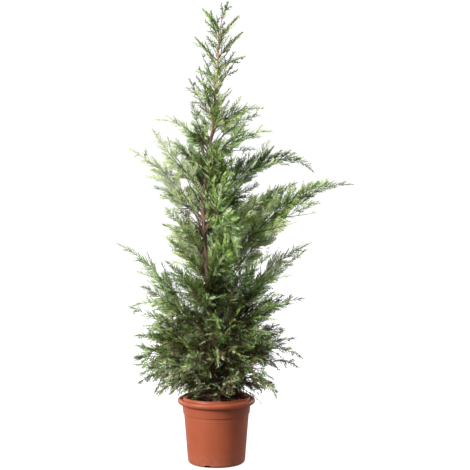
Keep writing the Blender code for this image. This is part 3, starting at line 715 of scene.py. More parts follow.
def build_soil():
    """A turned body that fills the pot, its top uneven, with loose crumbs and chips on it."""
    edge = COLLAR_FOOT_RADIUS - WALL + SOIL_OVERLAP
    floor_gap, wall_gap = SOIL_GAPS
    rows, columns = SOIL_GRID
    radii = np.linspace(edge, CENTRE_RADIUS, rows)
    below = [
        (CENTRE_RADIUS, FLOOR + floor_gap),
        (BODY_FOOT_RADIUS - FOOT_ROUNDING, FLOOR + floor_gap),
        (BODY_FOOT_RADIUS - WALL - wall_gap, FLOOR + FOOT_ROUNDING),
        (BODY_TOP_RADIUS - WALL - wall_gap, COLLAR_FOOT_HEIGHT - INNER_STEP),
        (edge, SOIL_HEIGHT - SOIL_SHOULDER),
    ]
    top = np.stack([radii, np.full(rows, SOIL_HEIGHT)], -1)
    azimuths = np.linspace(-math.pi, math.pi, columns, endpoint=False)
    rings = turned(np.concatenate([below, top]), azimuths)
    crust = rings[len(below) :].reshape(-1, 3)
    rings[len(below) :, :, 2] = soil_top(crust).reshape(rows, -1)
    peat = soil_finish("peat", (0.016, 0.009, 0.006), (0.055, 0.030, 0.018))
    new_piece("soil_body", closed_rings(rings), peat, ["soil"], True)
    rng = np.random.default_rng(43)
    radius = (COLLAR_FOOT_RADIUS - CRUMB_EDGE) * np.sqrt(rng.uniform(0.02, 1.0, CRUMB_COUNT))
    turn = rng.uniform(0, 2 * math.pi, CRUMB_COUNT)
    centres = np.stack([radius * np.cos(turn), radius * np.sin(turn), radius * 0], -1)
    centres[:, 2] = soil_top(centres)
    size = rng.uniform(*CRUMB_SIZES, (CRUMB_COUNT, 1, 1))
    size = size * rng.uniform(0.4, 1.2, (CRUMB_COUNT, 6, 1))
    ways = np.concatenate([np.eye(3), -np.eye(3)])
    corners = centres[:, None] + ways * size
    octahedron = np.array(
        [(0, 1, 2), (1, 3, 2), (3, 4, 2), (4, 0, 2), (1, 0, 5), (3, 1, 5), (4, 3, 5), (0, 4, 5)]
    )
    chips = rng.random(CRUMB_COUNT) < CHIP_SHARE
    browns = soil_finish("bark_chips", (0.06, 0.028, 0.014), (0.16, 0.085, 0.045))
    new_piece("soil_crumbs", repeated(corners[~chips], octahedron), peat)
    new_piece("soil_chips", repeated(corners[chips], octahedron), browns)


def trunk_at(height):
    """Points on the trunk's middle line and its radius at heights, straight between stations."""
    height = np.clip(height, TRUNK_STATIONS[0, 0], TRUNK_STATIONS[-1, 0])
    x, y, radius = interpolated(height, TRUNK_STATIONS[:, 0], TRUNK_STATIONS[:, 1:]).T
    return np.stack([x, y, height], -1), radius


def build_trunk(boughs):
    """Rings up the trunk, with a collar at each bough's root, lengthwise ridges and old scars.

    The radius at an azimuth is the trunk's own, plus ridges whose phase wanders with height,
    plus a bump round each bough's root and round each scar, plus buttresses at the flare.
    """
    heights = np.arange(TRUNK_FOOT - TRUNK_SUNK, TRUNK_STATIONS[-1, 0], TRUNK_ROW)
    shifts = np.linspace(-TRUNK_SMOOTHING, TRUNK_SMOOTHING, 5)
    middles, radii = zip(*(trunk_at(heights + shift) for shift in shifts))
    middle, radius = np.mean(middles, 0), np.mean(radii, 0)
    middle[:, 2] = heights
    turn = np.linspace(0, 2 * math.pi, TRUNK_COLUMNS, endpoint=False)
    rng = np.random.default_rng(44)
    relief = np.zeros((len(heights), TRUNK_COLUMNS))
    for ridges, depth in TRUNK_RIDGES:
        waves = rng.uniform(*RIDGE_WANDER, 4)
        wander = sum(np.sin(heights / wave + rng.uniform(0, 6)) for wave in waves)
        relief += depth * np.sin(ridges * turn + wander[:, None] + rng.uniform(0, 6))
    flare = np.clip(1 - (heights - TRUNK_FOOT) / FLARE_REACH, 0, 1)[:, None]
    relief += BUTTRESS * flare * np.sin(4 * turn + 1.1)
    bump = radius[:, None] * relief
    roots = [(b.height, b.turn, b.root_radius) for b in boughs]
    spots = zip(
        rng.uniform(*SCAR_HEIGHTS, SCAR_COUNT),
        rng.uniform(0, 2 * math.pi, SCAR_COUNT),
        rng.uniform(*SCAR_SIZES, SCAR_COUNT),
    )
    for height, azimuth, size in [*roots, *spots]:
        off = (radius[:, None] * swing(turn - azimuth) / size) ** 2
        over = ((heights - height)[:, None] / (SCAR_LENGTH * size)) ** 2
        bump += SCAR_DEPTH * size * np.exp(-0.5 * (off + over))
    around = (radius[:, None] + bump)[..., None]
    ring = np.stack([np.cos(turn), np.sin(turn), np.zeros(TRUNK_COLUMNS)], -1)
    rings = middle[:, None] + around * ring
    new_piece("trunk_bark", closed_rings(rings), trunk_finish(), ["trunk"], True)


class Bough:
    """One bough of the table: its middle line, its radius at the root and its plume's plane."""

    def __init__(self, name, row):
        height, azimuth, length, root, middle, tip = row
        self.name, self.height, self.length = name, height, length
        self.turn = math.radians(azimuth)
        self.limbed = name in LIMBED
        self.fullness = FULLNESS.get(name, 1.0)
        foot, trunk_radius = trunk_at(np.array([height]))
        self.root_radius = min(
            BOUGH_ROOT_RADIUS + BOUGH_RADIUS_PER_METRE * length,
            MOST_SHARE_OF_TRUNK * trunk_radius[0],
        )
        outwards = np.array([math.cos(self.turn), math.sin(self.turn), 0.0])
        t = (np.arange(PATH_STEPS) + 0.5) / PATH_STEPS
        rise = root * (1 - t) * (1 - 2 * t) + middle * 4 * t * (1 - t) + tip * t * (2 * t - 1)
        rise = np.radians(rise)[:, None]
        steps = outwards * np.cos(rise) + np.array([0.0, 0.0, 1.0]) * np.sin(rise)
        walk = np.cumsum(steps * length / PATH_STEPS, axis=0)
        self.line = np.concatenate([foot, foot + walk])
        self.aside = np.array([-outwards[1], outwards[0], 0.0])

    def at(self, share):
        """The point at a share of the length."""
        place = min(max(share, 0.0), 1.0) * PATH_STEPS
        i = min(int(place), PATH_STEPS - 1)
        return self.line[i] + (self.line[i + 1] - self.line[i]) * (place - i)

    def way(self, share):
        """The direction of growth at a share of the length."""
        return unit(self.at(share + 1 / PATH_STEPS) - self.at(share - 1 / PATH_STEPS))

    def sideways(self, share, turn):
        """A direction square to the growth: level at turn 0, and up at a quarter turn."""
        up = np.cross(self.way(share), self.aside)
        up = -up if up[2] < 0 else up
        return self.aside * math.cos(turn) + up * math.sin(turn)

    def foliage_start(self):
        """The share of the length where the bare limb ends."""
        return LIMB_SHARE if self.limbed else 0.0


class Stems(namedtuple("Stems", "line flat length first bough")):
    """Stems of one order as arrays: lines of points, the normals of the planes that their side
    growth lies in, lengths, the share where growth starts, and the bough that each belongs to."""

    def at(self, which, share):
        """Points and directions of growth at shares of the length of chosen stems."""
        steps = self.line.shape[1] - 1
        place = np.clip(share, 0, 1) * steps
        i = np.minimum(place.astype(int), steps - 1)
        low, high = self.line[which, i], self.line[which, i + 1]
        return low + (high - low) * (place - i)[:, None], unit(high - low)

    def chosen(self, mask):
        """The stems that a mask picks."""
        return Stems(*(values[mask] for values in self))


def ends(stems, reach):
    """The last stretch of each stem, as stems of their own."""
    share = 1 - np.minimum(reach / stems.length, 0.99)
    which = np.arange(len(share))
    points = [stems.at(which, share + (1 - share) * t)[0] for t in (0.0, 1.0)]
    length = (1 - share) * stems.length
    first = np.full(len(share), BLADE_FIRST)
    return Stems(np.stack(points, 1), stems.flat, length, first, stems.bough)


def joined(*orders):
    """Several sets of stems as one."""
    return Stems(*(np.concatenate(values) for values in zip(*orders)))


def parabolas(start, way, pull, length, stations):
    """Lines from start points: a way times a share t, plus a pull times t squared, times a length."""
    t = np.linspace(0, 1, stations)[:, None]
    return start[:, None] + (way[:, None] * t + pull[:, None] * t * t) * length[:, None, None]


class Spaces:
    """Whose space a point lies in: that of the bough whose middle line is nearest. The thin
    inner limbs come after the boughs, and fill what room there is."""

    def __init__(self, boughs):
        fine = np.linspace(0, PATH_STEPS, 2 * PATH_STEPS + 1)
        whole = np.arange(PATH_STEPS + 1)
        lines = [interpolated(fine, whole, bough.line) for bough in boughs]
        self.samples = np.concatenate(lines)
        self.count = len(boughs)

    def gaps(self, points):
        """How far each point is from the middle line of each bough."""
        gaps = np.linalg.norm(points[:, None] - self.samples, axis=-1)
        return gaps.reshape(len(gaps), self.count, -1).min(-1)

    def hold(self, points, bough):
        """Whether points are in their own bough's space, with a little slack, clear of the trunk,
        and neither in the pot nor under its rim."""
        middle, radius = trunk_at(points[:, 2])
        clear = np.linalg.norm(points - middle, axis=1) > radius + LIMB_MARGIN
        radius = np.hypot(points[:, 0], points[:, 1])
        over = points[:, 2] > POT_HEIGHT + POT_MARGIN
        beside = radius > RIM_RADIUS + POT_MARGIN
        mouth = (radius < POT_MOUTH_RADIUS) & (points[:, 2] > SOIL_HEIGHT + POT_MARGIN)
        own = np.ones(len(points), bool)
        for start in range(0, len(points), CHUNK):
            part = slice(start, start + CHUNK)
            gaps = self.gaps(points[part])
            free = bough[part] >= self.count
            mine = gaps[np.arange(len(gaps)), np.where(free, 0, bough[part])]
            own[part] = free | (mine <= gaps.min(1) + SPACE_SLACK)
        return clear & own & (over | beside | mouth)


def fitted(spaces, start, way, pull, lengths, bough):
    """Lengths of parabolas cut back in steps until the tested points stay in the bough's space."""
    kept = lengths * SHORTER[-1]
    open_ones = np.ones(len(lengths), bool)
    pull = np.broadcast_to(pull, way.shape)
    for share in SHORTER:
        tried = np.flatnonzero(open_ones)
        for t in CURVE_TESTS:
            step = (way[tried] * t + pull[tried] * t * t) * lengths[tried, None] * share
            tried = tried[spaces.hold(start[tried] + step, bough[tried])]
        good = np.zeros(len(lengths), bool)
        good[tried] = True
        kept[good] = lengths[good] * share
        open_ones &= ~good
    return kept, open_ones


def lowness(points):
    """0 where the twigs stand and 1 low down, where they hang."""
    top, foot = SAGGING_HEIGHTS
    return ramp(-points[:, 2], -top, -foot)


def slightness(points):
    """The share of the usual size that side growth has: full below, less towards the leader."""
    return np.interp(points[:, 2], SLIGHT_HEIGHTS, (1.0, SLIGHT_SHARE))


def side_growth(stems, rule, seed, spaces=None, fullness=None):
    """One more order of growth, borne left and right in turn in each stem's own plane.

    An offshoot's direction turns from the stem's by an angle, its plane tilts a little out of
    the stem's, and its line is a parabola that bends on forwards and upwards. Its length
    follows what is left of the stem ahead of it.
    """
    rng = np.random.default_rng(seed)
    span = rule.last - stems.first
    count = np.maximum(np.rint(stems.length * span / rule.spacing).astype(int), rule.fewest)
    parent = np.repeat(np.arange(len(count)), count)
    total = len(parent)
    step = np.arange(total) - np.repeat(np.cumsum(count) - count, count)
    shift = rng.uniform(-rule.shift, rule.shift, total)
    share = stems.first[parent] + span[parent] * (step + 0.5 + shift) / count[parent]
    point, forwards = stems.at(parent, share)
    side = np.where((step + parent) % 2, 1.0, -1.0)[:, None]
    across = unit(np.cross(stems.flat[parent], forwards)) * side
    flat = np.cross(forwards, across) * side
    across = swept(across, flat, np.radians(rng.normal(0, rule.tilt, total)))
    flat = unit(np.cross(forwards, across)) * side
    angle = rule.angle[0] + (rule.angle[1] - rule.angle[0]) * share
    way = swept(forwards, across, np.radians(angle + rng.normal(0, rule.scatter, total)))
    flat = unit(swept(flat, np.cross(way, flat), np.radians(rng.normal(0, rule.twist, total))))
    rest = (1 - share) * stems.length[parent]
    length = np.minimum(rule.length + rule.per_rest * rest**rule.power, rule.most)
    length = length * rng.uniform(*rule.uneven, total)
    length = length * (1 - rule.underside * ramp(-way[:, 2], 0, UNDERSIDE_FULL))
    pull = forwards * rule.bend
    pull[:, 2] += rule.lift - rule.sag * lowness(point)
    bough = stems.bough[parent]
    if fullness is not None:
        length = length * fullness[bough] * slightness(point)
    keep = np.ones(total, bool)
    if spaces:
        length, lost = fitted(spaces, point, way, pull, length, bough)
        keep = ~lost
    line = parabolas(point, way, pull, length, rule.stations)
    return Stems(line, flat, length, np.full(total, rule.first), bough).chosen(keep)


# The rule of one order of growth. "first" is the share of an offshoot's length where growth of
# its own starts, "last" the share of the stem where offshoots end. Then come their spacing, their
# unevenness, their angles at the stem's root and tip, their length from what is left of the stem
# ahead, their bend forwards, lift up and, low in the crown, sag, and how short they are below.
Growth = namedtuple(
    "Growth",
    "first last spacing fewest shift tilt angle scatter twist length per_rest power most uneven"
    " bend lift sag underside stations",
)
BRANCHLETS = Growth(
    first=0.06, last=0.95, spacing=0.0060, fewest=3, shift=0.25, tilt=15.0, angle=(50.0, 34.0),
    scatter=4.0, twist=14.0, length=0.007, per_rest=0.225, power=0.86, most=0.105,
    uneven=(0.72, 1.15), bend=0.16, lift=0.04, sag=0.30, underside=0.45, stations=3,
)
SHOOT_BRANCHLETS = BRANCHLETS._replace(spacing=0.0062, per_rest=0.27, power=0.90, most=0.070)
FEATHER_BRANCHLETS = BRANCHLETS._replace(
    spacing=0.0030, angle=(46.0, 30.0), length=0.0060, per_rest=0.21, power=1.0, most=0.034,
    uneven=(0.85, 1.10),
)
SPRAYS = BRANCHLETS._replace(
    first=0.10, last=0.94, spacing=0.0039, tilt=9.0, angle=(42.0, 27.0), length=0.0065,
    per_rest=0.30, power=1.0, most=0.022, uneven=(0.80, 1.15), lift=0.0, underside=0.0, stations=2,
)
LEAFLETS = SPRAYS._replace(
    first=0.04, last=0.95, spacing=0.0029, angle=(36.0, 18.0), twist=12.0, length=0.0036,
    per_rest=0.14, most=0.0080, uneven=(0.85, 1.15),
)
INNER_LEAFLETS = LEAFLETS._replace(spacing=0.0038, length=0.0042)
BLADE_FIRST = 0.04
SHORT_BRANCHLET = 0.040
END_REACH = 0.030
LEAFLET_WIDTH = 0.0026
LEAFLET_WIDTH_SHARE = 0.12
LEAFLET_BELLY = (0.42, 0.30)
SPRAY_RADIUS = 0.0015
SPRAY_SQUASH = 0.5
TWIG_RADIUS = 0.0008
TWIG_RADIUS_PER_METRE = 0.006
TWIG_TIP_RADIUS = 0.0005
GREENER_SPAN = (0.95, 1.10)
BROWN_REACH_LOW = 0.60
SHOOT_STATIONS = 7
SHOOT_BARE = 0.08
SHOOT_UNDERSIDE = 0.5
SHOOT_SAG = 0.38
SAGGING_HEIGHTS = (0.75, 0.35)
SHOOT_RADIUS = 0.0011
SHOOT_RADIUS_PER_METRE = 0.009


def source_shoots(bough):
    """The side shoots of one plume, drawn by the source's rule and in its order of draws.

    Gives the spray's roll and rows of (share, turn, length, angle, twist).
    """
    rng = random.Random(f"{SEED} {bough.name}")
    roll = math.radians(SPRAY_ROLL * rng.choice((-1, 1)))
    start = max(SPRAY_START_SHARE, bough.foliage_start() + LIMB_GAP)
    teeth = max(round((1 - start) * bough.length / SPRAY_TOOTH_SPACING), LEAST_TEETH)
    for _ in range(4 * teeth + 2):
        rng.random()
    first = max(FIRST_SHOOT_SHARE, bough.foliage_start() + FIRST_SHOOT_PAST_LIMB)
    count = round(FEWEST_SHOOTS + SHOOTS_PER_METRE * bough.length)
    face = rng.choice((-90, 90))
    shoots = []

    def shoot(share, turn, size, most_twist, opening=0.0):
        length = (SHOOT_LENGTH + SHOOT_LENGTH_PER_REST * (1 - share) * bough.length) * size
        length *= bough.fullness
        angle = SHOOT_ANGLE_ROOT + (SHOOT_ANGLE_TIP - SHOOT_ANGLE_ROOT) * share + opening
        twist = rng.uniform(-most_twist, most_twist)
        shoots.append((share, turn, length, math.radians(angle), math.radians(twist)))

    for i in range(count):
        shift = i + 0.5 + rng.uniform(-SHOOT_SHIFT, SHOOT_SHIFT)
        share = first + (LAST_SHOOT_SHARE - first) * shift / count
        size = rng.uniform(*SHOOT_UNEVENNESS)
        turn = roll + math.radians(face + rng.uniform(-SHOOT_SCATTER, SHOOT_SCATTER))
        shoot(share, turn, size, BLADE_TWIST)
        face = -face
    small = round(SMALL_SHOOTS_PER_METRE * bough.length * bough.fullness)
    small = round(small * FEATHER_SHOOT_SHARE) if bough.height > FEATHER_HEIGHT else small
    for i in range(small):
        share = first + (LAST_SMALL_SHOOT - first) * (i + rng.random()) / small
        turn = roll + math.radians(face + rng.uniform(-SMALL_SHOOT_SCATTER, SMALL_SHOOT_SCATTER))
        size = SMALL_SHOOT_SHARE * rng.uniform(*SMALL_SHOOT_UNEVENNESS)
        shoot(share, turn, size, SMALL_SHOOT_TWIST, rng.uniform(*SMALL_SHOOT_OPENING))
        face = -face
    return roll, shoots


def limb_stems(boughs):
    """The boughs' own middle lines, their sprays rolled as the source rolls them."""
    flats, first = [], []
    for bough in boughs:
        roll, _ = source_shoots(bough)
        flats.append(np.cross(bough.sideways(0.5, roll), bough.way(0.5)))
        first.append(max(SPRAY_START_SHARE, bough.foliage_start() + LIMB_GAP))
    lines = np.stack([bough.line for bough in boughs])
    length = np.array([bough.length for bough in boughs])
    return Stems(lines, unit(np.array(flats)), length, np.array(first), np.arange(len(boughs)))


def shoot_stems(boughs, spaces):
    """The side shoots, each a parabola that bends on forwards, cut back to its own space."""
    rows = []
    for i, bough in enumerate(boughs):
        for share, turn, length, angle, twist in source_shoots(bough)[1]:
            forwards, outwards = bough.way(share), bough.sideways(share, turn)
            way = forwards * math.cos(angle) + outwards * math.sin(angle)
            level = outwards * math.cos(angle) - forwards * math.sin(angle)
            across = level * math.cos(twist) + np.cross(way, level) * math.sin(twist)
            length *= 1 - SHOOT_UNDERSIDE * min(max(-way[2] / UNDERSIDE_FULL, 0.0), 1.0)
            rows.append((bough.at(share), way, forwards, np.cross(across, way), length, i))
    start, way, forwards, flat, length, bough = (np.array(column) for column in zip(*rows))
    pull = forwards * SHOOT_BEND
    pull[:, 2] -= SHOOT_SAG * lowness(start)
    length, lost = fitted(spaces, start, way, pull, length * slightness(start), bough)
    line = parabolas(start, way, pull, length, SHOOT_STATIONS)
    return Stems(line, unit(flat), length, np.full(len(rows), SHOOT_BARE), bough).chosen(~lost)


def trunk_shoots(rule, spaces):
    """Shoots straight from the trunk, at golden-angle turns, that bend upwards."""
    rng = np.random.default_rng(rule.seed)
    count = rule.count
    turns = np.arange(count)
    low, high = rule.heights
    height = low + (high - low) * ((turns + rng.random(count)) / count) ** TRUNK_SHOOT_CROWDING
    azimuth = turns * GOLDEN_ANGLE + rng.uniform(-TRUNK_SHOOT_SWAY, TRUNK_SHOOT_SWAY, count)
    tilt = np.radians(rng.uniform(*rule.tilts, count))
    length = rng.uniform(*rule.lengths, count)
    length *= np.interp(height, TRUNK_SHOOT_HEIGHTS, TRUNK_SHOOT_SIZES)
    outwards = np.stack([np.cos(azimuth), np.sin(azimuth), 0 * azimuth], -1)
    up = np.array([0.0, 0.0, 1.0])
    way = swept(up, outwards, tilt)
    start, _ = trunk_at(height)
    bough = spaces.gaps(start + way * length[:, None] * SPACE_TEST_SHARE).argmin(-1)
    pull = up * rule.rise - outwards * TRUNK_SHOOT_PINCH
    length, lost = fitted(spaces, start, way, pull, length, bough)
    line = parabolas(start, way, pull, length, SHOOT_STATIONS)
    facing = rng.random(count) < rule.facing
    near, free = rng.normal(0, FACING_SPREAD, count), rng.uniform(0, math.pi, count)
    side = unit(np.cross(way, outwards))
    flat = swept(np.cross(side, way), side, np.where(facing, near, free))
    aside = np.abs(swing(azimuth + math.pi / 2))
    in_window = [(height > low - WINDOW_BELOW) & (height < high) for low, high in TRUNK_WINDOWS]
    before = np.any(in_window, 0) & (aside < WINDOW_HALF_WIDTH)
    return Stems(line, unit(flat), length, np.full(count, rule.bare), bough).chosen(~lost & ~before)


def tubes(stems, radii, sides, squash=1.0):
    """Tapering tubes: a ring at every station but the last, where the tube comes to a point.

    radii has a row for each stem and a value for each station. Gives (tube, vertex, xyz) points
    and one tube's triangles.
    """
    line = stems.line
    way = unit(np.gradient(line, axis=1))
    across = unit(np.cross(stems.flat[:, None], way))
    up = np.cross(way, across) * squash
    turn = np.arange(sides) * 2 * math.pi / sides
    ring = across[:, :, None] * np.cos(turn)[:, None] + up[:, :, None] * np.sin(turn)[:, None]
    rings = line[:, :-1, None] + ring[:, :-1] * radii[:, :-1, None, None]
    points = np.concatenate([rings.reshape(len(line), -1, 3), line[:, :1], line[:, -1:]], 1)
    return points, ring_faces(line.shape[1] - 1, sides)


def repeated(points, triangles):
    """Vertices and faces of many copies of one small form, each with its own points."""
    count, corners, _ = points.shape
    faces = np.arange(count)[:, None, None] * corners + triangles
    return points.reshape(-1, 3), faces.reshape(-1, 3)


def merged(parts):
    """Several (vertices, faces) pairs as one."""
    offsets = np.cumsum([0] + [len(vertices) for vertices, _ in parts[:-1]])
    vertices = np.concatenate([vertices for vertices, _ in parts])
    faces = np.concatenate([faces + offset for (_, faces), offset in zip(parts, offsets)])
    return vertices, faces


def lozenges(leaflets):
    """Leaflets as four-faced slips: a point at root and tip, and two corners less than half way
    up, set a little below the midrib, so that each has a lozenge outline and a raised middle."""
    root, tip = leaflets.line[:, 0], leaflets.line[:, -1]
    way = unit(tip - root)
    side = np.cross(leaflets.flat, way)
    width = (LEAFLET_WIDTH + LEAFLET_WIDTH_SHARE * leaflets.length)[:, None]
    along, below = LEAFLET_BELLY
    belly = root + (tip - root) * along - leaflets.flat * width * below
    points = np.stack([root, tip, belly + side * width / 2, belly - side * width / 2], 1)
    return points, np.array([(0, 1, 2), (0, 3, 1), (0, 2, 3), (1, 3, 2)])


# Greens from dark to pale, warm and cool. A spray's green follows its tone, so the darkest partly
# paint shade and the palest partly paint light.
LEAF_GREENS = {
    "shade": ((0.026, 0.034, 0.010), (0.016, 0.032, 0.012)),
    "deep": ((0.078, 0.120, 0.018), (0.056, 0.108, 0.034)),
    "mid": ((0.152, 0.255, 0.038), (0.125, 0.228, 0.068)),
    "fresh": ((0.260, 0.425, 0.068), (0.225, 0.390, 0.118)),
    "light": ((0.395, 0.570, 0.155), (0.345, 0.500, 0.250)),
    "pale": ((0.640, 0.720, 0.360), (0.590, 0.670, 0.450)),
}
DRY_LEAF = (0.175, 0.120, 0.056)
DRY_SHARE = 0.11
SHED_SHARE = 0.52
TONE_STEPS = (0.21, 0.36, 0.53, 0.69, 0.84)
# How much paler a bough is than the rest, and how much cooler its greens are.
BOUGH_TONES = {
    "leader": (0.08, -0.3), "left_01": (0.06, -0.4), "left_02": (0.00, -0.8),
    "left_03": (0.00, -1.2), "left_04": (0.16, -1.5), "left_05": (-0.26, -0.4),
    "left_06": (0.22, 0.7), "left_07": (0.40, 0.3), "left_08": (0.71, 0.5),
    "left_09": (0.36, 0.1), "left_10": (0.08, 0.3), "left_11": (0.12, -0.6),
    "left_13": (0.11, -0.6), "left_14": (0.06, 0.0), "left_15": (0.12, 0.9),
    "right_01": (0.38, 0.0), "right_02": (0.06, -0.5), "right_03": (0.08, -0.6),
    "right_05": (0.24, -1.0), "right_06": (0.22, 0.3), "right_07": (-0.08, 0.0),
    "right_08": (-0.10, 0.9), "right_09": (0.32, 0.0), "right_10": (0.09, -0.3),
    "right_11": (0.47, -0.8), "right_12": (-0.06, 0.5), "right_13": (0.44, -1.3),
    "right_14": (0.26, -1.0), "right_15": (-0.42, -2.0), "right_16": (0.08, 0.0),
    "right_18": (0.26, 0.3), "front_01": (0.11, -1.8), "front_02": (0.07, -0.3),
    "front_03": (0.14, 0.0), "front_04": (0.17, 0.0), "front_05": (0.12, -0.3),
    "front_06": (0.12, 0.0), "front_08": (0.12, 0.0), "front_09": (-0.06, 0.0),
    "back_01": (0.36, -1.6), "back_02": (0.18, 0.0), "back_03": (-0.08, 0.0),
    "back_04": (0.14, 0.0), "inner_01": (-0.34, -1.4), "inner_03": (0.08, -1.5),
    "inner_04": (0.00, -2.0), "inner_05": (-0.22, -0.7), "inner_06": (0.36, -0.2),
    "inner_07": (0.42, -0.2), "inner_08": (0.14, 0.0), "inner_10": (0.08, 0.0),
    "inner_11": (0.08, 0.8), "inner_14": (0.12, 0.0), "inner_15": (-0.34, 0.0),
    "inner_20": (0.12, 0.0), "inner_22": (0.03, -0.5), "inner_23": (0.10, 0.0),
    "inner_26": (0.64, 0.0), "inner_27": (0.44, 0.2), "inner_28": (0.16, 0.3),
    "inner_29": (-0.10, -0.3), "inner_31": (0.14, 0.0), "inner_32": (0.18, 0.0),
    "inner_33": (0.80, 0.6), "inner_34": (-0.06, -1.0), "inner_35": (-0.04, 0.3),
    "inner_36": (-0.06, 0.8), "inner_38": (-0.26, -2.0), "inner_39": (0.16, 0.0),
    "inner_40": (-0.08, 0.4), "inner_44": (0.26, -0.4), "inner_45": (0.08, 0.0),
    "inner_46": (-0.14, -1.5), "inner_47": (-0.14, 0.4), "inner_48": (0.14, 1.4),
    "inner_49": (0.24, -1.0), "inner_50": (0.04, 0.0), "inner_51": (0.26, -2.0),
    "inner_52": (0.24, -2.0), "inner_53": (0.33, -2.0), "inner_54": (0.18, -2.0),
    "inner_55": (0.54, -2.0), "inner_56": (-0.10, -2.0), "inner_57": (0.34, 0.1),
    "inner_58": (0.50, 0.3), "inner_59": (0.60, 0.4), "inner_60": (0.20, -1.6),
    "inner_61": (0.20, 0.0), "inner_62": (0.20, 0.0),
}
PALER_HEIGHTS = (0.30, 0.45, 0.60, 0.76, 0.90, 1.02, 1.16, 1.29, 1.40)
PALER = (0.04, 0.02, 0.00, 0.06, 0.12, 0.05, 0.07, 0.14, 0.02)
CROWN_HEIGHTS = (0.25, 0.45, 0.75, 1.05, 1.30, 1.55, 1.75)
CROWN_RADII = (0.26, 0.32, 0.33, 0.26, 0.16, 0.10, 0.05)
# The terms of a spray's tone. A span is where a term sets in and where it is full, in metres, and
# a patch has its share, size and seed.
BASE_TONE = 0.10
# Painted shade inside the crown, and the paler green of new growth outside: the tone rises outwards.
SHADE_IN_FRESH_OUT = 0.56
SHADE_IN_FRESH_OUT_HIGH = 0.16
MOST_OUT = 1.1
LEADER_OUT = 0.60
LEADER_DARKER = 0.14
EDGE_DARKER = 1.30
EDGE_START = 0.75
# Painted light on the left, where the key lamp falls, and painted shade low on the right, away from
# it.
PAINTED_LIGHT_ON_LEFT = 0.10
PAINTED_SHADE_ON_RIGHT = 0.10
# Painted light on the crown's front, less so high up.
PAINTED_LIGHT_ON_FRONT = 0.10
# Painted shade in each plume's core, near its bough's middle line, and the paler green of its fresh
# tips further out.
HEART_SHADE_AND_TIPS_RANGE = 0.32
HEART_PAINTED_SHADE = 0.19
BOUGH_CHANCE = 0.08
SPRAY_CHANCE = 0.16
PATCHES = ((0.20, 0.11, 62), (0.19, 0.050, 63), (0.18, 0.020, 64))
HIGH_SPAN = (0.60, 1.20)
UPPER_SPAN = (0.92, 1.02)
LEADER_SPAN = (1.34, 1.50)
LOW_EDGE_SPAN = (0.12, 0.24)
PAINTED_LIGHT_REACH = 0.15
RIGHT_SHADE_SPAN = (0.0, 0.10)
FRONT_LIGHT_SPAN = (0.0, 0.20)
HEART_SHADE_SPAN = (0.0, 0.06)
EDGE_SHADE = 0.34
EDGE_SHADE_ACROSS = (0.20, 0.26)
EDGE_SHADE_UP = (0.90, 0.98)
# What makes a spray's green cool rather than warm.
COOL_PATCHES = ((0.5, 0.16, 65),)
COOL_CHANCE = 0.8
COOLER_DOWN = 0.9
COOL_HEIGHT = 0.75
WARM_LEADER = 2.0
# Where sprays are dry, and where they are shed: deep inside, and over the pot's mouth.
DRY_REACH = 0.45
DRY_REACH_LOW = 0.40
SHED_DEPTH = (-0.60, -0.30)
MOUTH_HEIGHTS = (-0.34, -0.24)
MOUTH_REACH = 0.8
MOUTH_SHED = 0.48
INNER_KINDS = 4
MOST_TRIANGLES = 180000
MOST_PER_SPRAY = 34


def outness(points):
    """How far out in the crown points stand: 0 at the trunk, 1 at the crown's usual radius."""
    middle, _ = trunk_at(points[:, 2])
    crown = np.interp(points[:, 2], CROWN_HEIGHTS, CROWN_RADII)
    return np.linalg.norm(points[:, :2] - middle[:, :2], axis=1) / crown


def off_limb(points, bough, boughs):
    """How far points stand from the middle line of their own bough."""
    lines = np.stack([limb.line for limb in boughs])
    gaps = np.empty(len(points))
    for start in range(0, len(points), CHUNK):
        part = slice(start, start + CHUNK)
        gaps[part] = np.linalg.norm(lines[bough[part]] - points[part, None], axis=-1).min(1)
    return gaps


def at_trunk(points):
    """Where the photo's camera sees points against the upright plane through the pot's middle."""
    camera = np.array(CAMERA_PLACE)
    away = points - camera
    return camera + away * (-camera[1] / away[:, 1])[:, None]


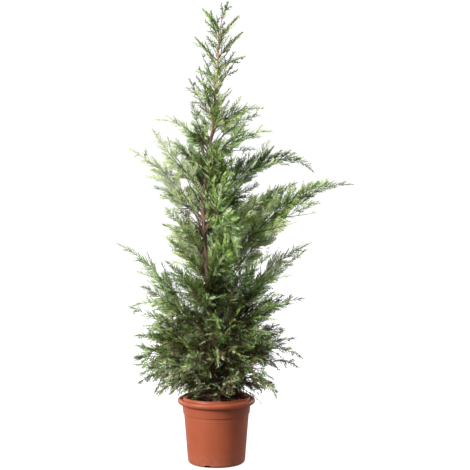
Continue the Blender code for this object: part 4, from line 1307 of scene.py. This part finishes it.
def spray_tones(sprays, boughs):
    """A tone from 0, dark, to 1, pale, for every spray.

    It rises outwards in the crown, more so high up: painted shade inside, and the paler green of
    new growth outside. It rises out from the middle line of the spray's own bough: painted shade in
    each plume's core, and its fresh tips' paler green. It rises to the left and to the front as
    painted light, and falls low on the right as painted shade. It falls towards the crown's edge low
    down, and as painted shade in the hollows and at one edge. Patches, a tone for each height and
    each bough and a little chance come on top. The leader's sprays are more even than the rest.
    """
    rng = np.random.default_rng(61)
    by_bough = rng.normal(0, BOUGH_CHANCE, len(boughs))
    for i, bough in enumerate(boughs):
        by_bough[i] = BOUGH_TONES.get(bough.name, (by_bough[i], 0.0))[0]
    tips = sprays.line[:, -1]
    x, y, z = tips.T
    low = lowness(tips)
    high = ramp(z, *HIGH_SPAN)
    leading = ramp(z, *LEADER_SPAN)
    upper = ramp(z, *UPPER_SPAN) - leading
    out = np.clip(outness(tips), 0, MOST_OUT)
    out += (LEADER_OUT - out) * 0.75 * leading
    # Painted shade inside the crown and the paler green of new growth outside.
    tone = BASE_TONE + (SHADE_IN_FRESH_OUT + SHADE_IN_FRESH_OUT_HIGH * high) * out - LEADER_DARKER * leading
    tone -= EDGE_DARKER * low * ramp(np.abs(x), *LOW_EDGE_SPAN) * np.maximum(out - EDGE_START, 0)
    # Painted light to the left and painted shade low on the right, as the key lamp falls from the
    # left.
    tone += PAINTED_LIGHT_ON_LEFT * np.clip(-x / PAINTED_LIGHT_REACH, -0.5, 1) - PAINTED_SHADE_ON_RIGHT * low * ramp(x, *RIGHT_SHADE_SPAN)
    # Painted light on the front of the crown.
    tone += PAINTED_LIGHT_ON_FRONT * (1 - 0.5 * high) * ramp(-y, *FRONT_LIGHT_SPAN)
    # Painted shade in plume cores and the paler green of fresh tips.
    heart_shade_and_tips = HEART_SHADE_AND_TIPS_RANGE * ramp(off_limb(tips, sprays.bough, boughs), *HEART_SHADE_SPAN) - HEART_PAINTED_SHADE
    tone += (1 + 0.5 * upper - leading) * heart_shade_and_tips
    tone += (1 + 0.5 * low + 0.4 * upper - 0.4 * leading) * layered(tips, PATCHES)
    seen = at_trunk(tips)
    # Painted shade in the hollows between boughs.
    for middle_x, middle_z, reach, darker in HOLLOWS:
        off = (seen[:, 0] - middle_x) ** 2 + (seen[:, 2] - middle_z) ** 2
        tone -= darker * np.exp(-off / reach**2)
    tone -= EDGE_SHADE * ramp(x, *EDGE_SHADE_ACROSS) * ramp(z, *EDGE_SHADE_UP)
    tone += np.interp(z, PALER_HEIGHTS, PALER) + by_bough[sprays.bough]
    return tone + (1 - 0.3 * leading) * rng.normal(0, SPRAY_CHANCE, len(tips))


def in_gaps(points):
    """Which points stand in the way of a gap, or between the camera and a bare stretch of trunk."""
    seen = at_trunk(points)
    gaps = np.hypot(seen[:, None, 0] - SKY_GAPS[:, 0], seen[:, None, 2] - SKY_GAPS[:, 1])
    open_sky = (gaps < SKY_GAPS[:, 2] + GAP_MARGIN).any(1)
    trunk, _ = trunk_at(seen[:, 2])
    level = np.any([(seen[:, 2] > low) & (seen[:, 2] < high) for low, high in TRUNK_VIEWS], 0)
    before = (points[:, 1] < trunk[:, 1]) & (np.abs(seen[:, 0] - trunk[:, 0]) < VIEW_HALF_WIDTH)
    return open_sky | (level & before)


def bare(sprays):
    """Which sprays are shed: many of those low down and deep inside, where brown twigs show."""
    tips = sprays.line[:, -1]
    out, low = outness(tips), lowness(tips)
    rng = np.random.default_rng(64)
    mouth = ramp(-tips[:, 2], *MOUTH_HEIGHTS) * (out < MOUTH_REACH)
    shed = SHED_SHARE * ramp(-out, *SHED_DEPTH) * low + MOUTH_SHED * mouth
    return rng.random(len(tips)) < shed


def build_leaves(sprays, boughs, foliage_nodes):
    """Every spray's spike and leaflets, joined by tone into pieces of a bounded size.

    A spray is cool where an uneven value is above 0: it falls with height and at the leader, and
    each bough adds its own. Some sprays inside the crown are dry.
    """
    tips = sprays.line[:, -1]
    low = lowness(tips)
    tone = np.digitize(spray_tones(sprays, boughs), TONE_STEPS)
    rng = np.random.default_rng(63)
    coolness = layered(tips, COOL_PATCHES) + rng.normal(0, COOL_CHANCE, len(tips))
    coolness += COOLER_DOWN * (COOL_HEIGHT - tips[:, 2]) - WARM_LEADER * ramp(tips[:, 2], *LEADER_SPAN)
    by_bough = np.array([BOUGH_TONES.get(bough.name, (0.0, 0.0))[1] for bough in boughs])
    kind = 2 * tone + (coolness + by_bough[sprays.bough] > 0)
    inner = outness(tips) < DRY_REACH + DRY_REACH_LOW * low
    dry = rng.random(len(tone)) < DRY_SHARE * (1 + 1.5 * low)
    kind[inner & dry] = 2 * len(LEAF_GREENS)
    finishes = [
        (f"{name}_{side}", colour)
        for name, colours in LEAF_GREENS.items()
        for side, colour in zip(("warm", "cool"), colours)
    ]
    radii = SPRAY_RADIUS * np.array([1.0, 0.0]) * np.ones((len(tone), 1))
    for k, (name, colour) in enumerate([*finishes, ("dry", DRY_LEAF)]):
        green = leaf_finish(f"leaves_{name}", colour)
        chosen = np.flatnonzero(kind == k)
        rule = INNER_LEAFLETS if k < INNER_KINDS else LEAFLETS
        pieces = math.ceil(MOST_PER_SPRAY * len(chosen) / MOST_TRIANGLES)
        for part, group in enumerate(np.array_split(chosen, pieces) if pieces else ()):
            some = sprays.chosen(group)
            leaflets = side_growth(some, rule, 71 + 10 * k + part)
            spikes = repeated(*tubes(some, radii[group], 3, SPRAY_SQUASH))
            shape = merged([spikes, repeated(*lozenges(leaflets))])
            new_piece(f"leaves_{name}_{part + 1}", shape, green, foliage_nodes)


def taper(count, stations, root, tip, power=1.0):
    """Radii that fall from root to tip along the stations, for each stem."""
    t = np.linspace(0, 1, stations)
    return tip + (np.reshape(root, (-1, 1)) - tip) * (1 - t) ** power * np.ones((count, 1))


def build_limbs(boughs, limbs, bough_nodes):
    """Every bough's own limb: a long taper with a swollen root, brown, then green at the tip."""
    share = np.linspace(0, 1, LIMB_STATIONS)
    whole = np.arange(PATH_STEPS + 1) / PATH_STEPS
    lines = np.array(
        [
            np.mean([interpolated(share + d, whole, bough.line) for d in LIMB_SMOOTHING], 0)
            for bough in boughs
        ]
    )
    lines[:, [0, -1]] = limbs.line[:, [0, -1]]
    aside = np.array([bough.aside for bough in boughs])
    root = np.array([bough.root_radius for bough in boughs])
    radii = taper(len(boughs), LIMB_STATIONS, root, LIMB_TIP_RADIUS, LIMB_TAPER)
    distance = share * limbs.length[:, None]
    swelling = 1 + SWELLING * np.exp(-np.maximum(distance - SWELLING_FLAT, 0) / SWELLING_FADE)
    knots = 1 + layered(lines.reshape(-1, 3), KNOTS).reshape(len(boughs), -1)
    radii = radii * swelling * knots
    bark = stem_finish("limb_bark", (0.085, 0.054, 0.033), (0.300, 0.190, 0.120), 240.0, 0.80)
    green = stem_finish("young_stem", (0.050, 0.056, 0.018), (0.120, 0.122, 0.038), 200.0, 0.60)
    for name, part, finish in (
        ("limbs_bark", slice(0, LIMB_SPLIT + 1), bark),
        ("limbs_young", slice(LIMB_SPLIT - 1, LIMB_STATIONS), green),
    ):
        stems = limbs._replace(line=lines[:, part], flat=aside)
        shape = repeated(*tubes(stems, radii[:, part], LIMB_SIDES))
        new_piece(name, shape, finish, bough_nodes, True)


def build_twigs(shoots, branchlets):
    """The shoots' and branchlets' own stems: brown inside the crown, green outside it."""
    brown = stem_finish("twig_brown", (0.055, 0.030, 0.017), (0.230, 0.140, 0.085), 120.0, 0.75)
    green = stem_finish("twig_green", (0.052, 0.082, 0.018), (0.120, 0.175, 0.040), 300.0, 0.60)
    sets = []
    for stems, radius, per_metre, sides, brown_reach in (
        (shoots, SHOOT_RADIUS, SHOOT_RADIUS_PER_METRE, 4, 0.40),
        (branchlets, TWIG_RADIUS, TWIG_RADIUS_PER_METRE, 3, 0.22),
    ):
        count, stations, _ = stems.line.shape
        radii = taper(count, stations, radius + per_metre * stems.length, TWIG_TIP_RADIUS)
        middle = stems.line[:, stations // 2]
        reach = brown_reach * (1 - 0.5 * ramp(middle[:, 2], *GREENER_SPAN))
        inside = outness(middle) < reach + BROWN_REACH_LOW * lowness(middle)
        sets.append((stems, radii, sides, inside))
    for name, inner, finish in (("twigs_brown", True, brown), ("twigs_green", False, green)):
        parts = [
            repeated(*tubes(stems.chosen(inside == inner), radii[inside == inner], sides))
            for stems, radii, sides, inside in sets
        ]
        new_piece(name, merged(parts), finish)


def build_plant():
    """The trunk, then one order of growth after the other, and the pieces that show them."""
    boughs = [Bough(name, row) for name, row in BOUGHS.items()]
    spaces = Spaces(boughs)
    boughs += [Bough(f"inner_{i + 1:02d}", row) for i, row in enumerate(INNER_LIMBS)]
    bough_nodes, foliage_nodes = (
        sorted(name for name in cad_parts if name.startswith(kind))
        for kind in ("bough_", "foliage_")
    )
    build_trunk(boughs)
    limbs = limb_stems(boughs)
    build_limbs(boughs, limbs, bough_nodes)
    from_trunk = [trunk_shoots(rule, spaces) for rule in TRUNK_SHOOTS]
    shoots = joined(shoot_stems(boughs, spaces), *from_trunk)
    fullness = np.array([bough.fullness for bough in boughs])
    feathers = limbs.line[:, 0, 2] > FEATHER_HEIGHT
    branchlets = joined(
        side_growth(limbs.chosen(~feathers), BRANCHLETS, 51, spaces, fullness),
        side_growth(limbs.chosen(feathers), FEATHER_BRANCHLETS, 54, spaces, fullness),
        side_growth(shoots, SHOOT_BRANCHLETS, 52, spaces, np.ones(len(boughs))),
    )
    branchlets = branchlets.chosen(~in_gaps(branchlets.line[:, 1]))
    build_twigs(shoots, branchlets)
    short = branchlets.length < SHORT_BRANCHLET
    bearing = branchlets.chosen(~short)
    blades = ends(branchlets.chosen(short), 1.0)
    stem_ends = [ends(stems, END_REACH) for stems in (limbs, shoots, bearing)]
    sprays = joined(side_growth(bearing, SPRAYS, 53), blades, *stem_ends)
    sprays = sprays.chosen(~bare(sprays) & ~in_gaps(sprays.line.mean(1)))
    build_leaves(sprays, boughs, foliage_nodes)


# The studio: the floor's colour and how it shines to the camera, from one distance to another,
# with a painted shadow under the pot where that glow drops to nothing, then the strengths of the
# backdrop and of the light from it.
FLOOR_DROP = 0.0005
FLOOR_COLOUR = (0.25, 0.25, 0.25, 1.0)
FLOOR_REACH = (0.4, 3.0)
FLOOR_GLOW = (0.84, 1.1)
FLOOR_PAINTED_SHADOW = (0.098, 0.108)
BACKDROP = 1.05
FILL = 0.140
LIGHTS_AIM = (0.0, 0.0, 0.9)


def by_camera(tree, unseen, seen):
    """A mix of two shaders: one that gives light, and one that the camera sees."""
    path = add_node(tree, "ShaderNodeLightPath").outputs["Is Camera Ray"]
    return add_node(tree, "ShaderNodeMixShader", {0: path, 1: unseen, 2: seen}).outputs[0]


def build_stage():
    """A wide pale floor with a painted shadow under the pot, a white studio round it, a soft key from
    the upper left and the camera.
    """
    bpy.ops.mesh.primitive_circle_add(vertices=64, radius=40, fill_type="NGON")
    floor = bpy.context.object
    floor.name = "studio_floor"
    floor.location.z = -FLOOR_DROP
    material, tree, shader = new_finish("studio_white", 0.6, **{"Base Color": FLOOR_COLOUR})
    place = add_node(tree, "ShaderNodeTexCoord").outputs["Object"]
    length = add_node(tree, "ShaderNodeVectorMath", {"Vector": place}, operation="LENGTH")
    away = length.outputs["Value"]
    bright = ranged(tree, away, *FLOOR_REACH, *FLOOR_GLOW)
    # Painted shadow: the floor's glow to the camera drops to nothing under the pot's foot.
    clear = ranged(tree, away, *FLOOR_PAINTED_SHADOW, 0.0, 1.0)
    shine = add_node(tree, "ShaderNodeMath", {0: bright, 1: clear}, operation="MULTIPLY").outputs[0]
    glow = add_node(tree, "ShaderNodeEmission", {"Strength": shine}).outputs[0]
    lit = add_node(tree, "ShaderNodeAddShader", {0: shader.outputs[0], 1: glow}).outputs[0]
    shown = by_camera(tree, shader.outputs[0], lit)
    set_inputs(tree, tree.nodes["Material Output"], {"Surface": shown})
    floor.data.materials.append(material)
    world = bpy.data.worlds.new("studio")
    bpy.context.scene.world = world
    world.use_nodes = True
    tree = world.node_tree
    backdrop = tree.nodes["Background"]
    set_inputs(tree, backdrop, {"Color": tint(WHITE), "Strength": BACKDROP})
    fill = add_node(tree, "ShaderNodeBackground", {"Color": tint(WHITE), "Strength": FILL})
    shown = by_camera(tree, fill.outputs[0], backdrop.outputs[0])
    set_inputs(tree, tree.nodes["World Output"], {"Surface": shown})
    for name, place, size, power in (
        ("key", (-3.5, -2.6, 2.5), 1.5, 350.0),
        ("top", (0.8, -1.8, 4.6), 2.0, 135.0),
        ("back_left", (-2.6, 2.4, 1.4), 2.4, 70.0),
        ("back_right", (2.6, 2.4, 1.4), 2.4, 70.0),
    ):
        lamp = bpy.data.lights.new(name, "AREA")
        lamp.shape = "DISK"
        lamp.size = size
        lamp.energy = power
        light = bpy.data.objects.new(name, lamp)
        light.location = place
        light.visible_camera = False
        aim = Vector(LIGHTS_AIM) - Vector(place)
        light.rotation_euler = aim.to_track_quat("-Z", "Y").to_euler()
        bpy.context.scene.collection.objects.link(light)
    lens = bpy.data.cameras.new("camera")
    lens.sensor_width = SENSOR_WIDTH
    lens.lens = FOCAL_PIXELS * SENSOR_WIDTH / FRAME_PIXELS
    camera = bpy.data.objects.new("camera", lens)
    camera.location = CAMERA_PLACE
    camera.rotation_euler = (math.radians(90 - CAMERA_DIP), 0.0, 0.0)
    bpy.context.scene.collection.objects.link(camera)
    bpy.context.scene.camera = camera
    bpy.context.scene.view_settings.view_transform = "Standard"


build_stage()
build_pot()
build_soil()
build_plant()
